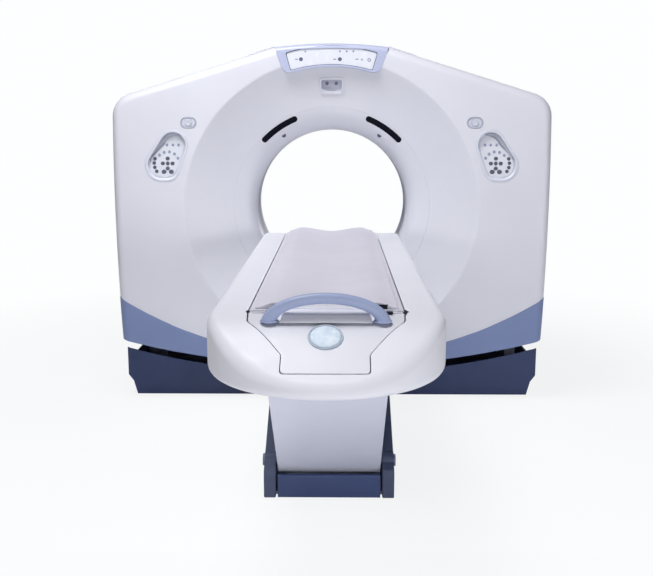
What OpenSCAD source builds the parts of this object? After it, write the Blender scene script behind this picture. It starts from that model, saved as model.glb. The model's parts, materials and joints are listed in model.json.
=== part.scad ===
// Computed tomography scanner: a tilting gantry with a turning ring inside its
// covers, and a patient table with a sliding cradle on swing legs.
// X runs to the right, Y away from the foot of the table, Z up. The origin is
// on the floor, under the centre of the bore.

/* [Gantry] */
// Width across the side covers
gantry_w = 2240; // [2150:10:2700]
// Height of the crown above the floor
gantry_h = 1880; // [1850:10:2260]
// Depth between the front and rear faces
gantry_d = 980; // [960:10:1180]
// Height of the bore's axis above the floor
iso_z = 1050; // [1040:5:1120]
// Upright radius of the bowed front and rear faces
face_r = 4000; // [3400:50:6000]
// Thickness of the moulded covers
cover_t = 6; // [4:0.5:8]
// Gap between neighbouring covers
seam = 0.8; // [0.4:0.1:0.9]
// Slope of the shoulders, in degrees
shoulder_a = 17.3; // [14:0.1:20]
// Radius of the rounded shoulder corners
corner_r = 120; // [90:5:160]

/* [Bore] */
// Inner radius of the bore
bore_r = 400; // [340:5:480]
// Outer radius of the shallow front flare
flare_r = 755; // [720:5:780]
// Width of the clear ring that the beam passes through
window_w = 100; // [80:5:130]
// Radius of the rear flare
rear_flare_r = 620; // [580:5:680]

/* [Rotor] */
// Outer radius of the turning disc
rotor_r = 760; // [740:5:775]
// Thickness of the turning disc
disc_t = 40; // [30:2:48]
// Radius of the x-ray tube housing
tube_r = 80; // [65:5:95]
// Radius of the rotor's belt drum
drum_r = 620; // [600:5:660]
// Radius of the motor pulley
pulley_r = 60; // [50:2:72]

/* [Controls] */
// Half width of the display's bezel at the crown
bezel_half = 296; // [240:2:356]
// Thickness of the display's bezel
bezel_t = 25; // [20:1:30]
// Size of the egg-shaped control pads, as a factor
pad_k = 1; // [0.8:0.05:1.2]
// Radius of the round call buttons
call_r = 17; // [13:0.5:20]
// Travel of the call buttons
call_travel = 3.5; // [2:0.5:4]

/* [Table] */
// Width of the table deck
deck_w = 700; // [640:10:840]
// Length of the table deck, with its rounded foot end
deck_len = 2315; // [2250:5:2840]
// Height of the deck, from its pan to its top
deck_t = 160; // [150:2:192]
// Width of the sliding cradle
cradle_w = 460; // [440:5:480]
// Length of a swing leg between its pivots
leg_l = 848.5; // [760:0.5:1018]
// Angle of the legs above the floor when the table is raised
leg_a = 45; // [42:1:50]
// Radius of the lower pivot pins
foot_pin_r = 15; // [12:0.5:18]
// Outer radius of the handle's bar
handle_r = 16; // [13:0.5:20]

/* [Hidden] */
$fn = 96;
eps = 1;
run = 0.05;   // radial clearance of pins and shafts
gap = 0.3;    // clearance of pieces that sit against each other

half_w = gantry_w / 2;
y_front = -gantry_d / 2 - 10;
y_rear = gantry_d / 2 - 10;
front_split = y_front + 120;
rear_split = y_rear - 120;
crown_half = 300;
crown_sag = 20;
crown_r = (crown_half * crown_half + crown_sag * crown_sag) / (2 * crown_sag);
top_half = 620;         // half width of the top cover
white_r = 2000;         // radius of the white covers' lower edge
white_z = 240;          // height of that edge at the middle
low_r = 4240;           // radius of the blue band's lower edge
low_z = 193;            // height of that edge at the middle

// Shoulder line and the centre of the rounded corner
shoulder_d = sin(shoulder_a) * crown_half + cos(shoulder_a) * (gantry_h - crown_sag);
corner_x = half_w - corner_r;
corner_z = (shoulder_d - corner_r - sin(shoulder_a) * corner_x) / cos(shoulder_a);

// Bore liner and front flare
liner_t = 4;
join_r = bore_r + 103;  // where the flare meets the bore liner
join_y = y_front + 133;
crease_r = bore_r + 88; // where the flare turns into the steeper throat
crease_y = y_front + 141.5;
throat_y = y_front + 220;
scan_y = throat_y + 130;
rear_throat_y = 100;
rear_rim_y = y_rear - 50;

// Rotor, from the bore outwards and from front to back
hub_r = bore_r + liner_t + 24;
hub_t = 17;
race_t = 21;
roller_r = 9;
inner_race_r = hub_r + hub_t;
outer_race_r = inner_race_r + race_t + 2 * roller_r;
plate_hole_r = outer_race_r + race_t;
disc_y = -60;
drum_w = 32;
plate_y = disc_y + disc_t + drum_w + 6;
plate_t = 40;
race_w = 40;
slip_y = plate_y + plate_t + 6;
slip_w = 44;
slip_r = inner_race_r + 75;
stator_r = rotor_r + 40;
tube_c = (hub_r + rotor_r) / 2;
focus_z = iso_z + tube_c;
detector_r = tube_c + hub_r + 45;
unit_front = disc_y - 175;
motor_a = -37.6;
motor_c = drum_r + pulley_r + 304;
belt_t = 4;

// Trunnions and the towers that carry them
tower_x = half_w - 135;
tower_t = 60;
arm_x = tower_x - 55;
trunnion_r = 45;
tower_race_r = 75;
rail_upper = [half_w - 190, iso_z + 450];
rail_lower = [half_w - 220, iso_z - 650];
rail_r = 20;

// Base under the gantry
base_half_d = 310;
base_r = 4348;          // radius of the base covers' upper edge
base_z = 122;           // height of that edge at the middle
base_half_w = half_w + 3;
foot_h = 12;
beam_top = 85;
anchor_x = half_w - 140;
anchor_y = 245;
anchor_r = 11;
side_top = 195;

// Display's bezel, control pads and call buttons
bezel_r = iso_z - 336;
bezel_a = atan(bezel_half / (gantry_h - iso_z));
mm_per_degree = bezel_r * PI / 180;
display_inset = 12; // from the bezel's lower edge to the panel
display_turn = 3.2; // degrees from the bezel's sides to the panel
display_h = 88;
pad_x = half_w - 278;
pad_z = iso_z + 265;
pad_rim = 16 * pad_k;
pad_depth = 10;
call_x = half_w - 394;
call_z = iso_z + 434;

// Table: deck, legs and their pivots
deck_y0 = y_front - 30;
deck_y1 = deck_y0 - deck_len;
nose_len = 395;
nose_n = 2.2;            // exponent of the foot end's plan, 2 for an ellipse
foot_y = -1620;
foot_z = 135;
leg_gap = 620;
top_y = foot_y - leg_l * cos(leg_a);
top_z = foot_z + leg_l * sin(leg_a);
top_pin_r = 12;
deck_bottom = top_z + 35;
deck_top = deck_bottom + deck_t;
pan_t = 6;
leg_x = 165;
arm_t = 30;
leg_half = 30;
leg_cover_half = 205;
leg_cover_n = 48;
cheek_x = 212.5;
cheek_t = 47.5;
cheek_top = 340;
base_y0 = -700;
base_y1 = foot_y - 80;
kick_top = 85;

// Cradle, its rails and the foot panel that travels with it
slot_gap = 2;
cradle_half = cradle_w / 2 - slot_gap;
cradle_y1 = deck_y1 + 355;
cradle_low = deck_top - 25.5;
tongue_half = 118;
slope_a = 30;
slope_y = deck_y1 + 215;
panel_y1 = deck_y1 + 45;
panel_t = 18;
beam_x = 130;
beam_w = 60;
frame_low = deck_bottom + pan_t + gap;
frame_top = deck_bottom + 80;
cradle_rail_h = deck_top - 50 - frame_top;
cradle_rail_w = 20;
cradle_rail_x = beam_x + beam_w - cradle_rail_w - 2;
handle_y = deck_y1 + 230;
handle_half = 160;
handle_rise = 65;
handle_arc_r = (handle_half * handle_half + handle_rise * handle_rise) / (2 * handle_rise);

// Lift screw and its crank
crank_c = 120;
crank_a = 75;
crank_pin_r = 9;
rear_foot_y = foot_y + leg_gap;
screw_z = foot_z + crank_c - 2.5;
rod_r = 14;

function face_y(z) = y_front + face_r - sqrt(face_r * face_r - (z - iso_z) * (z - iso_z));
function mix(a, b, t) = a + (b - a) * t;
function polar(r, a) = [r * cos(a), r * sin(a)];
function bow(t) = sign(t) * pow(abs(t), 2 / nose_n);

// ---- Helpers ----

// Extrudes an XZ drawing from y0 to y1
module along_y(y0, y1) {
    translate([0, y1, 0]) rotate([90, 0, 0]) linear_extrude(y1 - y0) children();
}

// Extrudes a YZ drawing from x0 to x1
module along_x(x0, x1) {
    translate([x0, 0, 0]) rotate([90, 0, 90]) linear_extrude(x1 - x0) children();
}

// A box given by its low and high corners
module block(low, high) {
    translate(low) cube(high - low);
}

// Both mirror images of a piece about the middle plane
module pair() {
    children();
    mirror([1, 0, 0]) children();
}

// Revolves a drawing of [radius, y] about the bore's axis
module about_bore() {
    translate([0, 0, iso_z]) rotate([-90, 0, 0]) rotate_extrude() children();
}

// A sector of such a ring, from angle a, seen from the foot of the table
module bore_arc(a, sweep, r0, r1, y0, y1, centre = [0, 0]) {
    translate([centre.x, 0, iso_z + centre.y]) rotate([90, 0, 0]) rotate([0, 0, a])
        rotate_extrude(angle = sweep, $fn = 720) translate([r0, -y1]) square([r1 - r0, y1 - y0]);
}

// A rod along Y, placed by its offset from the bore's axis
module rod_y(r, y0, y1, at = [0, 0]) {
    translate([at.x, y0, iso_z + at.y]) rotate([-90, 0, 0]) cylinder(r = r, h = y1 - y0);
}

// A rod along X, placed by its y and z
module rod_x(r, x0, x1, at) {
    translate([x0, at.x, at.y]) rotate([0, 90, 0]) cylinder(r = r, h = x1 - x0);
}

// Points round a taut band over circles [x, z, r], listed counter-clockwise
function band_normal(p, q) =
    atan2(q.y - p.y, q.x - p.x) - acos((p[2] - q[2]) / norm([q.x - p.x, q.y - p.y]));

function band_points(c, n = 12) = [for (i = [0 : len(c) - 1])
    let (last = c[(i + len(c) - 1) % len(c)], next = c[(i + 1) % len(c)],
        a = band_normal(last, c[i]), turn = band_normal(c[i], next) - a,
        sweep = turn - 360 * floor(turn / 360))
    each [for (k = [0 : n]) [c[i].x, c[i].y] + polar(c[i][2], a + sweep * k / n)]];

// A drawing of two circles joined by their outer tangents
module capsule(p, r, q, s, n = 24) {
    polygon(band_points([[p.x, p.y, r], [q.x, q.y, s]], n));
}

// Outline of the covers, seen from the front, moved inwards by e
module cover_outline(e) {
    w = half_w - e;
    r = corner_r - e;
    tangent = [corner_x, corner_z] + r * [sin(shoulder_a), cos(shoulder_a)];
    apex = (shoulder_d - e) / cos(shoulder_a);
    intersection() {
        union() {
            polygon([[-w, 0], [w, 0], [w, corner_z], tangent, [0, apex],
                [-tangent.x, tangent.y], [-w, corner_z]]);
            for (s = [-1, 1]) translate([s * corner_x, corner_z]) circle(r);
        }
        translate([0, gantry_h - crown_r]) circle(crown_r - e, $fn = 360);
    }
}

// Drawings above the white covers' lower edge and above the blue band's
module above_white(e = 0) {
    translate([0, white_z + white_r]) circle(white_r - e, $fn = 360);
}

module above_low() {
    translate([0, low_z + low_r]) circle(low_r, $fn = 360);
}

// Everything behind the bowed front face, moved back by e
module behind_face(e) {
    translate([-half_w - 50, y_front + face_r, iso_z]) rotate([0, 90, 0])
        cylinder(r = face_r - e, h = 2 * half_w + 100, $fn = 1440);
}

// Everything in front of the bowed rear face, moved forwards by e
module before_rear(e) {
    translate([-half_w - 50, y_rear - face_r, iso_z]) rotate([0, 90, 0])
        cylinder(r = face_r - e, h = 2 * half_w + 100, $fn = 1440);
}

// A plate that follows the front face, from depth e0 to e1, inside a drawing
module face_plate(e0, e1) {
    difference() {
        intersection() {
            along_y(y_front - 20, front_split) children();
            behind_face(e0);
        }
        behind_face(e1);
    }
}

// The hollow form of all the covers, open below
module cover_form(e) {
    intersection() {
        along_y(y_front - eps, y_rear + eps) cover_outline(e);
        behind_face(e);
        before_rear(e);
    }
}

module cover_shell() {
    difference() {
        cover_form(0);
        cover_form(cover_t);
    }
}

// Points of a soft corner from p to q, drawn towards c
function bend(p, c, q, n = 4) = [for (k = [0 : n]) let (t = k / n)
    (1 - t) * (1 - t) * p + 2 * t * (1 - t) * c + t * t * q];

// Drawing of the display's bezel: a sector about the bore that ends above the crown
module bezel_outline(e) {
    r = bezel_r + e;
    a = bezel_a - e / mm_per_degree;
    corner = 48;
    inner_a = a - corner / mm_per_degree;
    clear_r = r + 290;
    translate([0, iso_z]) polygon(concat(
        bend(polar(r + corner, 90 - a), polar(r, 90 - a), polar(r, 90 - inner_a)),
        [for (k = [1 : 11]) polar(r, 90 + mix(-inner_a, inner_a, k / 12))],
        bend(polar(r, 90 + inner_a), polar(r, 90 + a), polar(r + corner, 90 + a)),
        [polar(clear_r, 90 + a), polar(clear_r, 90 - a)]));
}

module display_outline(e) {
    low = bezel_r + display_inset + e;
    high = low + display_h - 2 * e;
    a = bezel_a - display_turn - e / mm_per_degree;
    translate([0, iso_z]) polygon(concat(
        [for (k = [0 : 12]) polar(low, 90 + mix(-a, a, k / 12))],
        [for (k = [0 : 12]) polar(high, 90 + mix(a, -a, k / 12))]));
}

// Egg-shaped drawing of the left control pad, moved inwards by e
module pad_outline(e) {
    lobes = [[-25, -45, 84], [22, -75, 52], [35, 57, 78]];
    polygon(band_points([for (p = lobes) [pad_k * p.x - pad_x, pad_k * p.y + pad_z, pad_k * p[2] - e]]));
}

module call_outline(e) {
    r = call_r + 12 - e;
    polygon(band_points([[-call_x - 12.5, call_z, r], [-call_x + 12.5, call_z, r]], 20));
}

// ---- Base of the gantry ----

module gantry_base_frame() {
    color([0.25, 0.28, 0.33]) difference() {
        union() {
            for (y = [-285, 205]) block([-half_w + 70, y, foot_h], [half_w - 70, y + 80, beam_top]);
            pair() block([tower_x - 25, -285, foot_h], [tower_x + 75, 285, beam_top]);
            block([-60, -206, foot_h], [60, 206, beam_top]);
        }
        for (x = [-1, 1], y = [-1, 1])
            translate([x * anchor_x, y * anchor_y, 0]) cylinder(r = anchor_r, h = beam_top + eps);
    }
}

module gantry_feet() {
    color([0.12, 0.12, 0.13]) {
        for (x = [-1, 1], y = [-1, 1])
            translate([x * (anchor_x - 130), y * anchor_y, 0]) cylinder(r = 45, h = foot_h);
        cylinder(r = 55, h = foot_h);
    }
}

// Drawing of the base covers: a smiling top edge over a bevelled foot
module base_outline(e) {
    w = base_half_w - e;
    difference() {
        polygon([[-w + 47, 5], [w - 47, 5], [w - 27, 80], [w, 116], [w, 300],
            [-w, 300], [-w, 116], [-w + 27, 80]]);
        translate([0, base_z + base_r]) circle(base_r, $fn = 360);
    }
}

module base_cover() {
    difference() {
        along_y(-base_half_d, -base_half_d + 14) base_outline(0);
        along_y(-base_half_d + cover_t, -base_half_d + 15) base_outline(cover_t);
    }
}

module base_covers() {
    color([0.18, 0.23, 0.35]) {
        base_cover();
        mirror([0, 1, 0]) base_cover();
    }
}

module base_side_covers() {
    y = base_half_d - 14 - seam;
    w = base_half_w;
    color([0.18, 0.23, 0.35]) pair() difference() {
        along_y(-y, y) polygon([[w - 90, 5], [w - 47, 5], [w - 27, 80], [w, 116], [w, side_top],
            [w - cover_t, side_top], [w - cover_t, 117], [w - 33, 82], [w - 52, 12], [w - 90, 12]]);
        block([w - 100, -y - eps, 0], [w - 54, -y + 20, 20]);
    }
}

module tilt_towers() {
    color([0.34, 0.37, 0.42]) pair() difference() {
        along_x(tower_x, tower_x + tower_t) {
            capsule([0, iso_z], 105, [0, iso_z - 300], 80);
            polygon([[-120, beam_top], [120, beam_top], [80, iso_z - 300], [-80, iso_z - 300]]);
        }
        rod_x(tower_race_r + run, tower_x - eps, tower_x + tower_t + eps, [0, iso_z]);
    }
}

module tilt_bearings() {
    color([0.62, 0.63, 0.65]) pair() difference() {
        rod_x(tower_race_r, tower_x + 4, tower_x + tower_t - 4, [0, iso_z]);
        rod_x(trunnion_r + run, tower_x, tower_x + tower_t, [0, iso_z]);
    }
}

module tilt_gearbox() {
    x0 = tower_x + tower_t;
    color([0.45, 0.47, 0.5]) difference() {
        union() {
            along_x(x0, x0 + 50) {
                circle_at = [0, iso_z];
                translate(circle_at) circle(95);
                translate([-45, iso_z - 150]) square([90, 120]);
            }
            translate([x0 + 28, 0, iso_z - 330]) cylinder(r = 27, h = 190);
        }
        rod_x(trunnion_r + run, x0 - eps, x0 + 30, [0, iso_z]);
    }
}

// ---- Tilting frame ----

module tilt_frame() {
    color([0.36, 0.39, 0.45]) difference() {
        union() {
            rod_y(stator_r, plate_y, plate_y + plate_t);
            for (s = [-1, 1]) {
                along_y(plate_y, plate_y + plate_t) {
                    for (p = [rail_upper, rail_lower])
                        capsule([s * p.x, p.y], 48, [s * 520, mix(iso_z, p.y, 0.6)], 60);
                    translate([s > 0 ? 700 : -arm_x, iso_z - 110]) square([arm_x - 700, 220]);
                }
                x0 = stator_r + 6;
                block([s > 0 ? x0 : -arm_x, -60, iso_z - 100], [s > 0 ? arm_x : -x0, 60, iso_z + 100]);
            }
            along_y(plate_y, plate_y + plate_t)
                capsule(polar(motor_c, motor_a) + [0, iso_z], 84, polar(640, motor_a) + [0, iso_z], 100);
            along_y(plate_y, plate_y + plate_t) translate([-60, iso_z + 700])
                square([120, gantry_h - iso_z - 700 - cover_t - 8]);
        }
        rod_y(plate_hole_r + run, plate_y - eps, plate_y + plate_t + eps);
        rod_y(20 + 1, plate_y - eps, plate_y + plate_t + eps, polar(motor_c, motor_a));
        for (s = [-1, 1], p = [rail_upper, rail_lower])
            rod_y(rail_r + run, plate_y - eps, plate_y + plate_t + eps, [s * p.x, p.y - iso_z]);
    }
}

module trunnions() {
    color([0.7, 0.71, 0.73]) pair() {
        rod_x(70, arm_x, arm_x + 30, [0, iso_z]);
        rod_x(trunnion_r, arm_x, tower_x + tower_t + 28, [0, iso_z]);
    }
}

// Rails along Y that carry the front and rear covers
module cover_rails() {
    color([0.6, 0.62, 0.65]) pair() intersection() {
        union() for (p = [rail_upper, rail_lower])
            rod_y(rail_r, y_front, y_rear, [p.x, p.y - iso_z]);
        behind_face(cover_t + gap);
        before_rear(cover_t + gap);
    }
}

// ---- Covers ----

module gantry_front_cover() {
    color([0.91, 0.91, 0.94]) difference() {
        intersection() {
            cover_shell();
            along_y(y_front - eps, front_split) above_white();
        }
        rod_y(flare_r + seam, y_front - eps, front_split + eps);
        along_y(y_front - eps, front_split + eps) bezel_outline(-seam);
        pair() along_y(y_front - eps, front_split) {
            pad_outline(-gap);
            call_outline(-gap);
        }
    }
}

module gantry_rear_cover() {
    color([0.91, 0.91, 0.94]) difference() {
        union() {
            intersection() {
                cover_shell();
                along_y(rear_split, y_rear + eps) above_white();
            }
            intersection() {
                rod_y(rear_flare_r + 2 * cover_t, rear_rim_y, y_rear);
                before_rear(0);
            }
        }
        rod_y(rear_flare_r + cover_t, rear_rim_y - 30, y_rear + eps);
    }
}

module middle_shell() {
    intersection() {
        cover_shell();
        along_y(front_split + seam, rear_split - seam) above_white();
    }
}

module gantry_side_covers() {
    color([0.91, 0.91, 0.94]) difference() {
        middle_shell();
        block([-top_half, y_front, 0], [top_half, y_rear, gantry_h + 50]);
    }
}

module gantry_top_cover() {
    color([0.91, 0.91, 0.94]) intersection() {
        middle_shell();
        block([-top_half + seam, y_front, iso_z], [top_half - seam, y_rear, gantry_h + 50]);
    }
}

// Blue bands that close the covers below, front and rear
module lower_bands() {
    color([0.42, 0.48, 0.68]) difference() {
        intersection() {
            cover_shell();
            along_y(y_front - eps, y_rear + eps) above_low();
        }
        along_y(y_front - 2, y_rear + 2) above_white(-seam);
        block([-half_w - eps, front_split, 0], [half_w + eps, front_split + seam, gantry_h]);
        block([-half_w - eps, rear_split - seam, 0], [half_w + eps, rear_split, gantry_h]);
    }
}

// Cross-section of the flare at angle a: its front skin, then its back
function flare_section(a) =
    let (rim_y = face_y(iso_z + flare_r * sin(a)),
        front = [for (u = [0 : 0.25 : 1]) [mix(flare_r, join_r, u),
            mix(rim_y, join_y, u) + 6 * sin(180 * u)]],
        back = [for (k = [4 : -1 : 0]) front[k] + [0, cover_t]])
    [for (p = concat(front, back)) [p.x * cos(a), p.y, iso_z + p.x * sin(a)]];

module front_flare() {
    n = 90;
    m = 10;
    points = [for (i = [0 : n - 1]) each flare_section(360 * i / n)];
    color([0.88, 0.88, 0.92]) difference() {
        polyhedron(points, [for (i = [0 : n - 1], j = [0 : m - 1], k = [0, 1])
            let (a = i * m, b = (i + 1) % n * m, j2 = (j + 1) % m)
            k == 0 ? [a + j, a + j2, b + j] : [a + j2, b + j2, b + j]], convexity = 6);
        intercom_body(seam);
        bezel_solid(2 * seam);
    }
}

// The dish and throat of the bore, as one revolved moulding
module front_bore_liner() {
    t = liner_t;
    profile = [[join_r - gap, join_y], [crease_r, crease_y],
        [bore_r + 12, mix(crease_y, throat_y, 0.82)], [bore_r + 3, mix(crease_y, throat_y, 0.93)],
        [bore_r, throat_y], [bore_r, scan_y - window_w / 2 - gap]];
    color([0.86, 0.87, 0.91]) difference() {
        about_bore() polygon(concat(profile, [for (k = [5 : -1 : 0])
            profile[k] + (k > 3 ? [t, 0] : k > 1 ? [t * 0.8, t * 0.8] : [0, t + 2])]));
        laser_slots(0.4, crease_y - 60, crease_y + 45);
    }
}

module laser_slots(e, y0, y1) {
    for (a = [42, 115.5])
        bore_arc(a - e / 8, 22.5 + e / 4, join_r - 41 - e, join_r - 11 + e, y0, y1);
}

module laser_windows() {
    color([0.04, 0.05, 0.09]) difference() {
        laser_slots(0, crease_y - 24, crease_y + 34);
        about_bore() polygon([[join_r, join_y + 2], [crease_r, crease_y + 2],
            [bore_r + 12, mix(crease_y, throat_y, 0.82) + 2], [bore_r + 12, crease_y - 60],
            [join_r, crease_y - 60]]);
    }
}

module scan_window() {
    color([0.8, 0.84, 0.88, 0.7]) about_bore()
        translate([bore_r, scan_y - window_w / 2]) square([liner_t - 1, window_w]);
}

module rear_bore_liner() {
    t = liner_t;
    n = 8;
    profile = [for (k = [0 : n]) let (u = k / n)
        [mix(bore_r, rear_flare_r, 1 - cos(90 * u)), mix(rear_throat_y, rear_rim_y, sin(90 * u))]];
    color([0.86, 0.87, 0.91]) about_bore() polygon(concat(
        [[bore_r, scan_y + window_w / 2 + gap]], profile, [[rear_flare_r + cover_t - gap, rear_rim_y]],
        [[rear_flare_r + cover_t - gap, rear_rim_y - t]],
        [for (k = [n : -1 : 0]) profile[k] + [t * cos(90 * k / n), -t * sin(90 * k / n)]],
        [[bore_r + t, scan_y + window_w / 2 + gap]]));
}

// ---- Display, intercom and controls ----

// Solid of the display's bezel, grown by e
module bezel_solid(e) {
    intersection() {
        difference() {
            cover_form(-e);
            cover_form(bezel_t + e);
        }
        along_y(y_front - eps, front_split - eps) bezel_outline(-e);
    }
}

module display_bezel() {
    color([0.7, 0.73, 0.85]) difference() {
        bezel_solid(0);
        face_plate(-5, 9) display_outline(-gap);
    }
}

module display_panel() {
    color([0.89, 0.9, 0.95]) face_plate(3, 9) display_outline(0);
}

intercom_z = iso_z + (flare_r + join_r) / 2 - 11;
intercom_a = 13.7;

module intercom_place() {
    translate([0, join_y - 28, intercom_z]) rotate([intercom_a, 0, 0]) children();
}

module intercom_body(e) {
    w = 62 + e;
    h = 42 + e;
    intercom_place() rotate([90, 0, 0]) translate([0, 0, -24]) linear_extrude(24 + 3 * e) {
        square([2 * w, 2 * h - 28], center = true);
        square([2 * w - 28, 2 * h], center = true);
        for (x = [-1, 1], z = [-1, 1]) translate([x * (w - 14), z * (h - 14)]) circle(14, $fn = 32);
    }
}

module intercom() {
    color([0.83, 0.84, 0.89]) difference() {
        intercom_body(0);
        intercom_place() block([-50, -5, -20], [50, 4, 32]);
        for (x = [-24, 24]) intercom_place() translate([x, 5, 14]) rotate([90, 0, 0])
            cylinder(r = 7, h = 12, center = true);
    }
}

module control_bezels() {
    color([0.73, 0.75, 0.85]) pair() {
        difference() {
            face_plate(-2, cover_t + 12) pad_outline(0);
            face_plate(-5, pad_depth) pad_outline(pad_rim);
            face_plate(pad_depth - 1, cover_t + 20) pad_outline(pad_rim + 6);
        }
        difference() {
            face_plate(-1, cover_t + 12 + call_travel) call_outline(0);
            rod_y(call_r + gap, y_front - 20, front_split, [-call_x, call_z - iso_z]);
        }
    }
}

module control_membranes() {
    color([0.85, 0.86, 0.91]) pair() face_plate(pad_depth - 2.5, pad_depth) pad_outline(pad_rim + gap);
}

module call_button() {
    face = face_y(call_z);
    lean = (call_r + 5) * (call_z - iso_z) / face_r;
    back = face + cover_t + 12 + call_travel + lean + gap;
    at = [-call_x, call_z - iso_z];
    color([0.8, 0.82, 0.88]) {
        rod_y(call_r, face - 6, back, at);
        rod_y(call_r + 5, back, back + 3, at);
    }
}

module call_button_left() {
    call_button();
}

module call_button_right() {
    mirror([1, 0, 0]) call_button();
}

// ---- Drive of the rotor, fixed to the tilting frame ----

module ring(r0, r1, y0, y1) {
    about_bore() translate([r0, y0]) square([r1 - r0, y1 - y0]);
}

module bearing_outer_race() {
    color([0.66, 0.67, 0.7]) ring(outer_race_r, plate_hole_r, plate_y, plate_y + race_w);
}

module brush_block() {
    color([0.2, 0.2, 0.22])
        bore_arc(215, 16, slip_r + gap, slip_r + 90, plate_y + plate_t, slip_y + slip_w);
}

module rotor_motor() {
    c = polar(motor_c, motor_a);
    color([0.3, 0.33, 0.4]) {
        rod_y(76, plate_y + plate_t, plate_y + plate_t + 190, c);
        rod_y(52, plate_y + plate_t + 190, plate_y + plate_t + 215, c);
    }
}

module motor_pulley() {
    c = polar(motor_c, motor_a);
    y0 = disc_y + disc_t + 2;
    color([0.7, 0.71, 0.74]) {
        rod_y(pulley_r, y0, y0 + drum_w - 2, c);
        rod_y(20, y0 + drum_w - 2, plate_y + plate_t - gap, c);
    }
}

module rotor_belt() {
    y0 = disc_y + disc_t + 4;
    c = polar(motor_c, motor_a) + [0, iso_z];
    color([0.1, 0.1, 0.11]) along_y(y0, y0 + 24) difference() {
        capsule([0, iso_z], drum_r + gap + belt_t, c, pulley_r + gap + belt_t, 90);
        capsule([0, iso_z], drum_r + gap, c, pulley_r + gap, 90);
    }
}

// ---- Rotor ----

module rotor_disc() {
    color([0.55, 0.57, 0.6]) difference() {
        union() {
            ring(hub_r, rotor_r, disc_y, disc_y + disc_t);
            ring(hub_r, inner_race_r, disc_y + disc_t - eps, slip_y + slip_w);
            ring(drum_r - 26, drum_r, disc_y + disc_t - eps, disc_y + disc_t + drum_w);
        }
        for (a = [0 : 30 : 330])
            rod_y(16, disc_y - eps, disc_y + disc_t + eps, polar(rotor_r - 25, a + 15));
    }
}

module bearing_inner_race() {
    color([0.66, 0.67, 0.7]) ring(inner_race_r, inner_race_r + race_t, plate_y, plate_y + race_w);
}

module bearing_rollers() {
    n = 36;
    color([0.75, 0.76, 0.78]) for (k = [0 : n - 1])
        rod_y(roller_r - 2 * run, plate_y + 2, plate_y + race_w - 2,
            polar(inner_race_r + race_t + roller_r, k * 360 / n));
}

module slip_ring() {
    color([0.72, 0.6, 0.35]) difference() {
        ring(inner_race_r, slip_r, slip_y, slip_y + slip_w);
        for (k = [0 : 2]) ring(slip_r - 3, slip_r + 1, slip_y + 5 + 13 * k, slip_y + 13 + 13 * k);
    }
}

module xray_tube() {
    color([0.78, 0.79, 0.8]) {
        rod_y(tube_r, unit_front, disc_y, [0, tube_c]);
        rod_y(tube_r * 0.6, unit_front - 20, unit_front, [0, tube_c]);
    }
}

module collimator() {
    top = tube_c - tube_r;
    color([0.3, 0.3, 0.33]) difference() {
        block([-70, scan_y - 55, iso_z + hub_r + 4], [70, disc_y, iso_z + top - gap]);
        block([-45, scan_y - 8, iso_z], [45, scan_y + 8, iso_z + top + 5]);
    }
}

module high_voltage_unit() {
    color([0.5, 0.52, 0.56]) block([-rotor_r + 40, unit_front, iso_z - 140],
        [-hub_r - 40, disc_y, iso_z + 210]);
}

module heat_exchanger() {
    x0 = hub_r + 40;
    x1 = rotor_r - 55;
    color([0.6, 0.62, 0.64]) difference() {
        block([x0, unit_front + 10, iso_z - 110], [x1, disc_y, iso_z + 250]);
        for (k = [0 : 8])
            block([x0 + 12, unit_front, iso_z - 92 + 37 * k], [x1 + eps, disc_y - 40, iso_z - 74 + 37 * k]);
    }
}

module counterweight() {
    color([0.25, 0.25, 0.27]) bore_arc(-36, 22, rotor_r - 135, rotor_r - 3, disc_y - 80, disc_y);
}

// Detector arc, centred on the tube's focal spot
module detector_arc() {
    color([0.42, 0.44, 0.48])
        bore_arc(246, 48, detector_r, detector_r + 75, unit_front, disc_y, [0, tube_c]);
}

// ---- Base of the table ----

module table_base() {
    color([0.28, 0.3, 0.35]) difference() {
        union() {
            block([-cheek_x, base_y1 + 20, foot_h], [cheek_x, base_y0, foot_h + 12]);
            block([-40, base_y0 - 190, foot_h + 12], [40, base_y0 - 20, screw_z - 36]);
            for (x = [-1, 1], y = [foot_y + 60, base_y0 - 60])
                translate([x * 170, y, 0]) cylinder(r = 30, h = foot_h);
        }
        for (x = [-1, 1], y = [foot_y + 150, base_y0 - 230])
            translate([x * 150, y, 0]) cylinder(r = 7, h = 60);
    }
}

module table_cheeks() {
    color([0.2, 0.25, 0.37]) pair() difference() {
        along_x(cheek_x, cheek_x + cheek_t) {
            polygon([[base_y1, 4], [base_y1, 100], [base_y1 + 10, 120], [base_y1 + 420, cheek_top],
                [base_y0 - 60, cheek_top], [base_y0, cheek_top - 60], [base_y0, 4]]);
            translate([foot_y, foot_z]) circle(34);
        }
        for (y = [foot_y, rear_foot_y])
            rod_x(foot_pin_r + run, cheek_x - eps, cheek_x + cheek_t + eps, [y, foot_z]);
    }
}

module kick_cover() {
    color([0.2, 0.25, 0.37]) difference() {
        block([-leg_cover_half, base_y1 + 8, 3], [leg_cover_half, base_y1 + 20 - gap, kick_top]);
        block([-leg_cover_half + 4, base_y1 + 12, 0], [leg_cover_half - 4, base_y1 + 20, kick_top - 4]);
    }
}

// Lower pins of both legs, with a cap at each end
module pivot_pins() {
    end = cheek_x + cheek_t;
    color([0.72, 0.73, 0.75]) for (y = [foot_y, rear_foot_y]) {
        rod_x(foot_pin_r, -end, end, [y, foot_z]);
        pair() rod_x(foot_pin_r + 9, end, end + 8, [y, foot_z]);
    }
}

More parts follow.
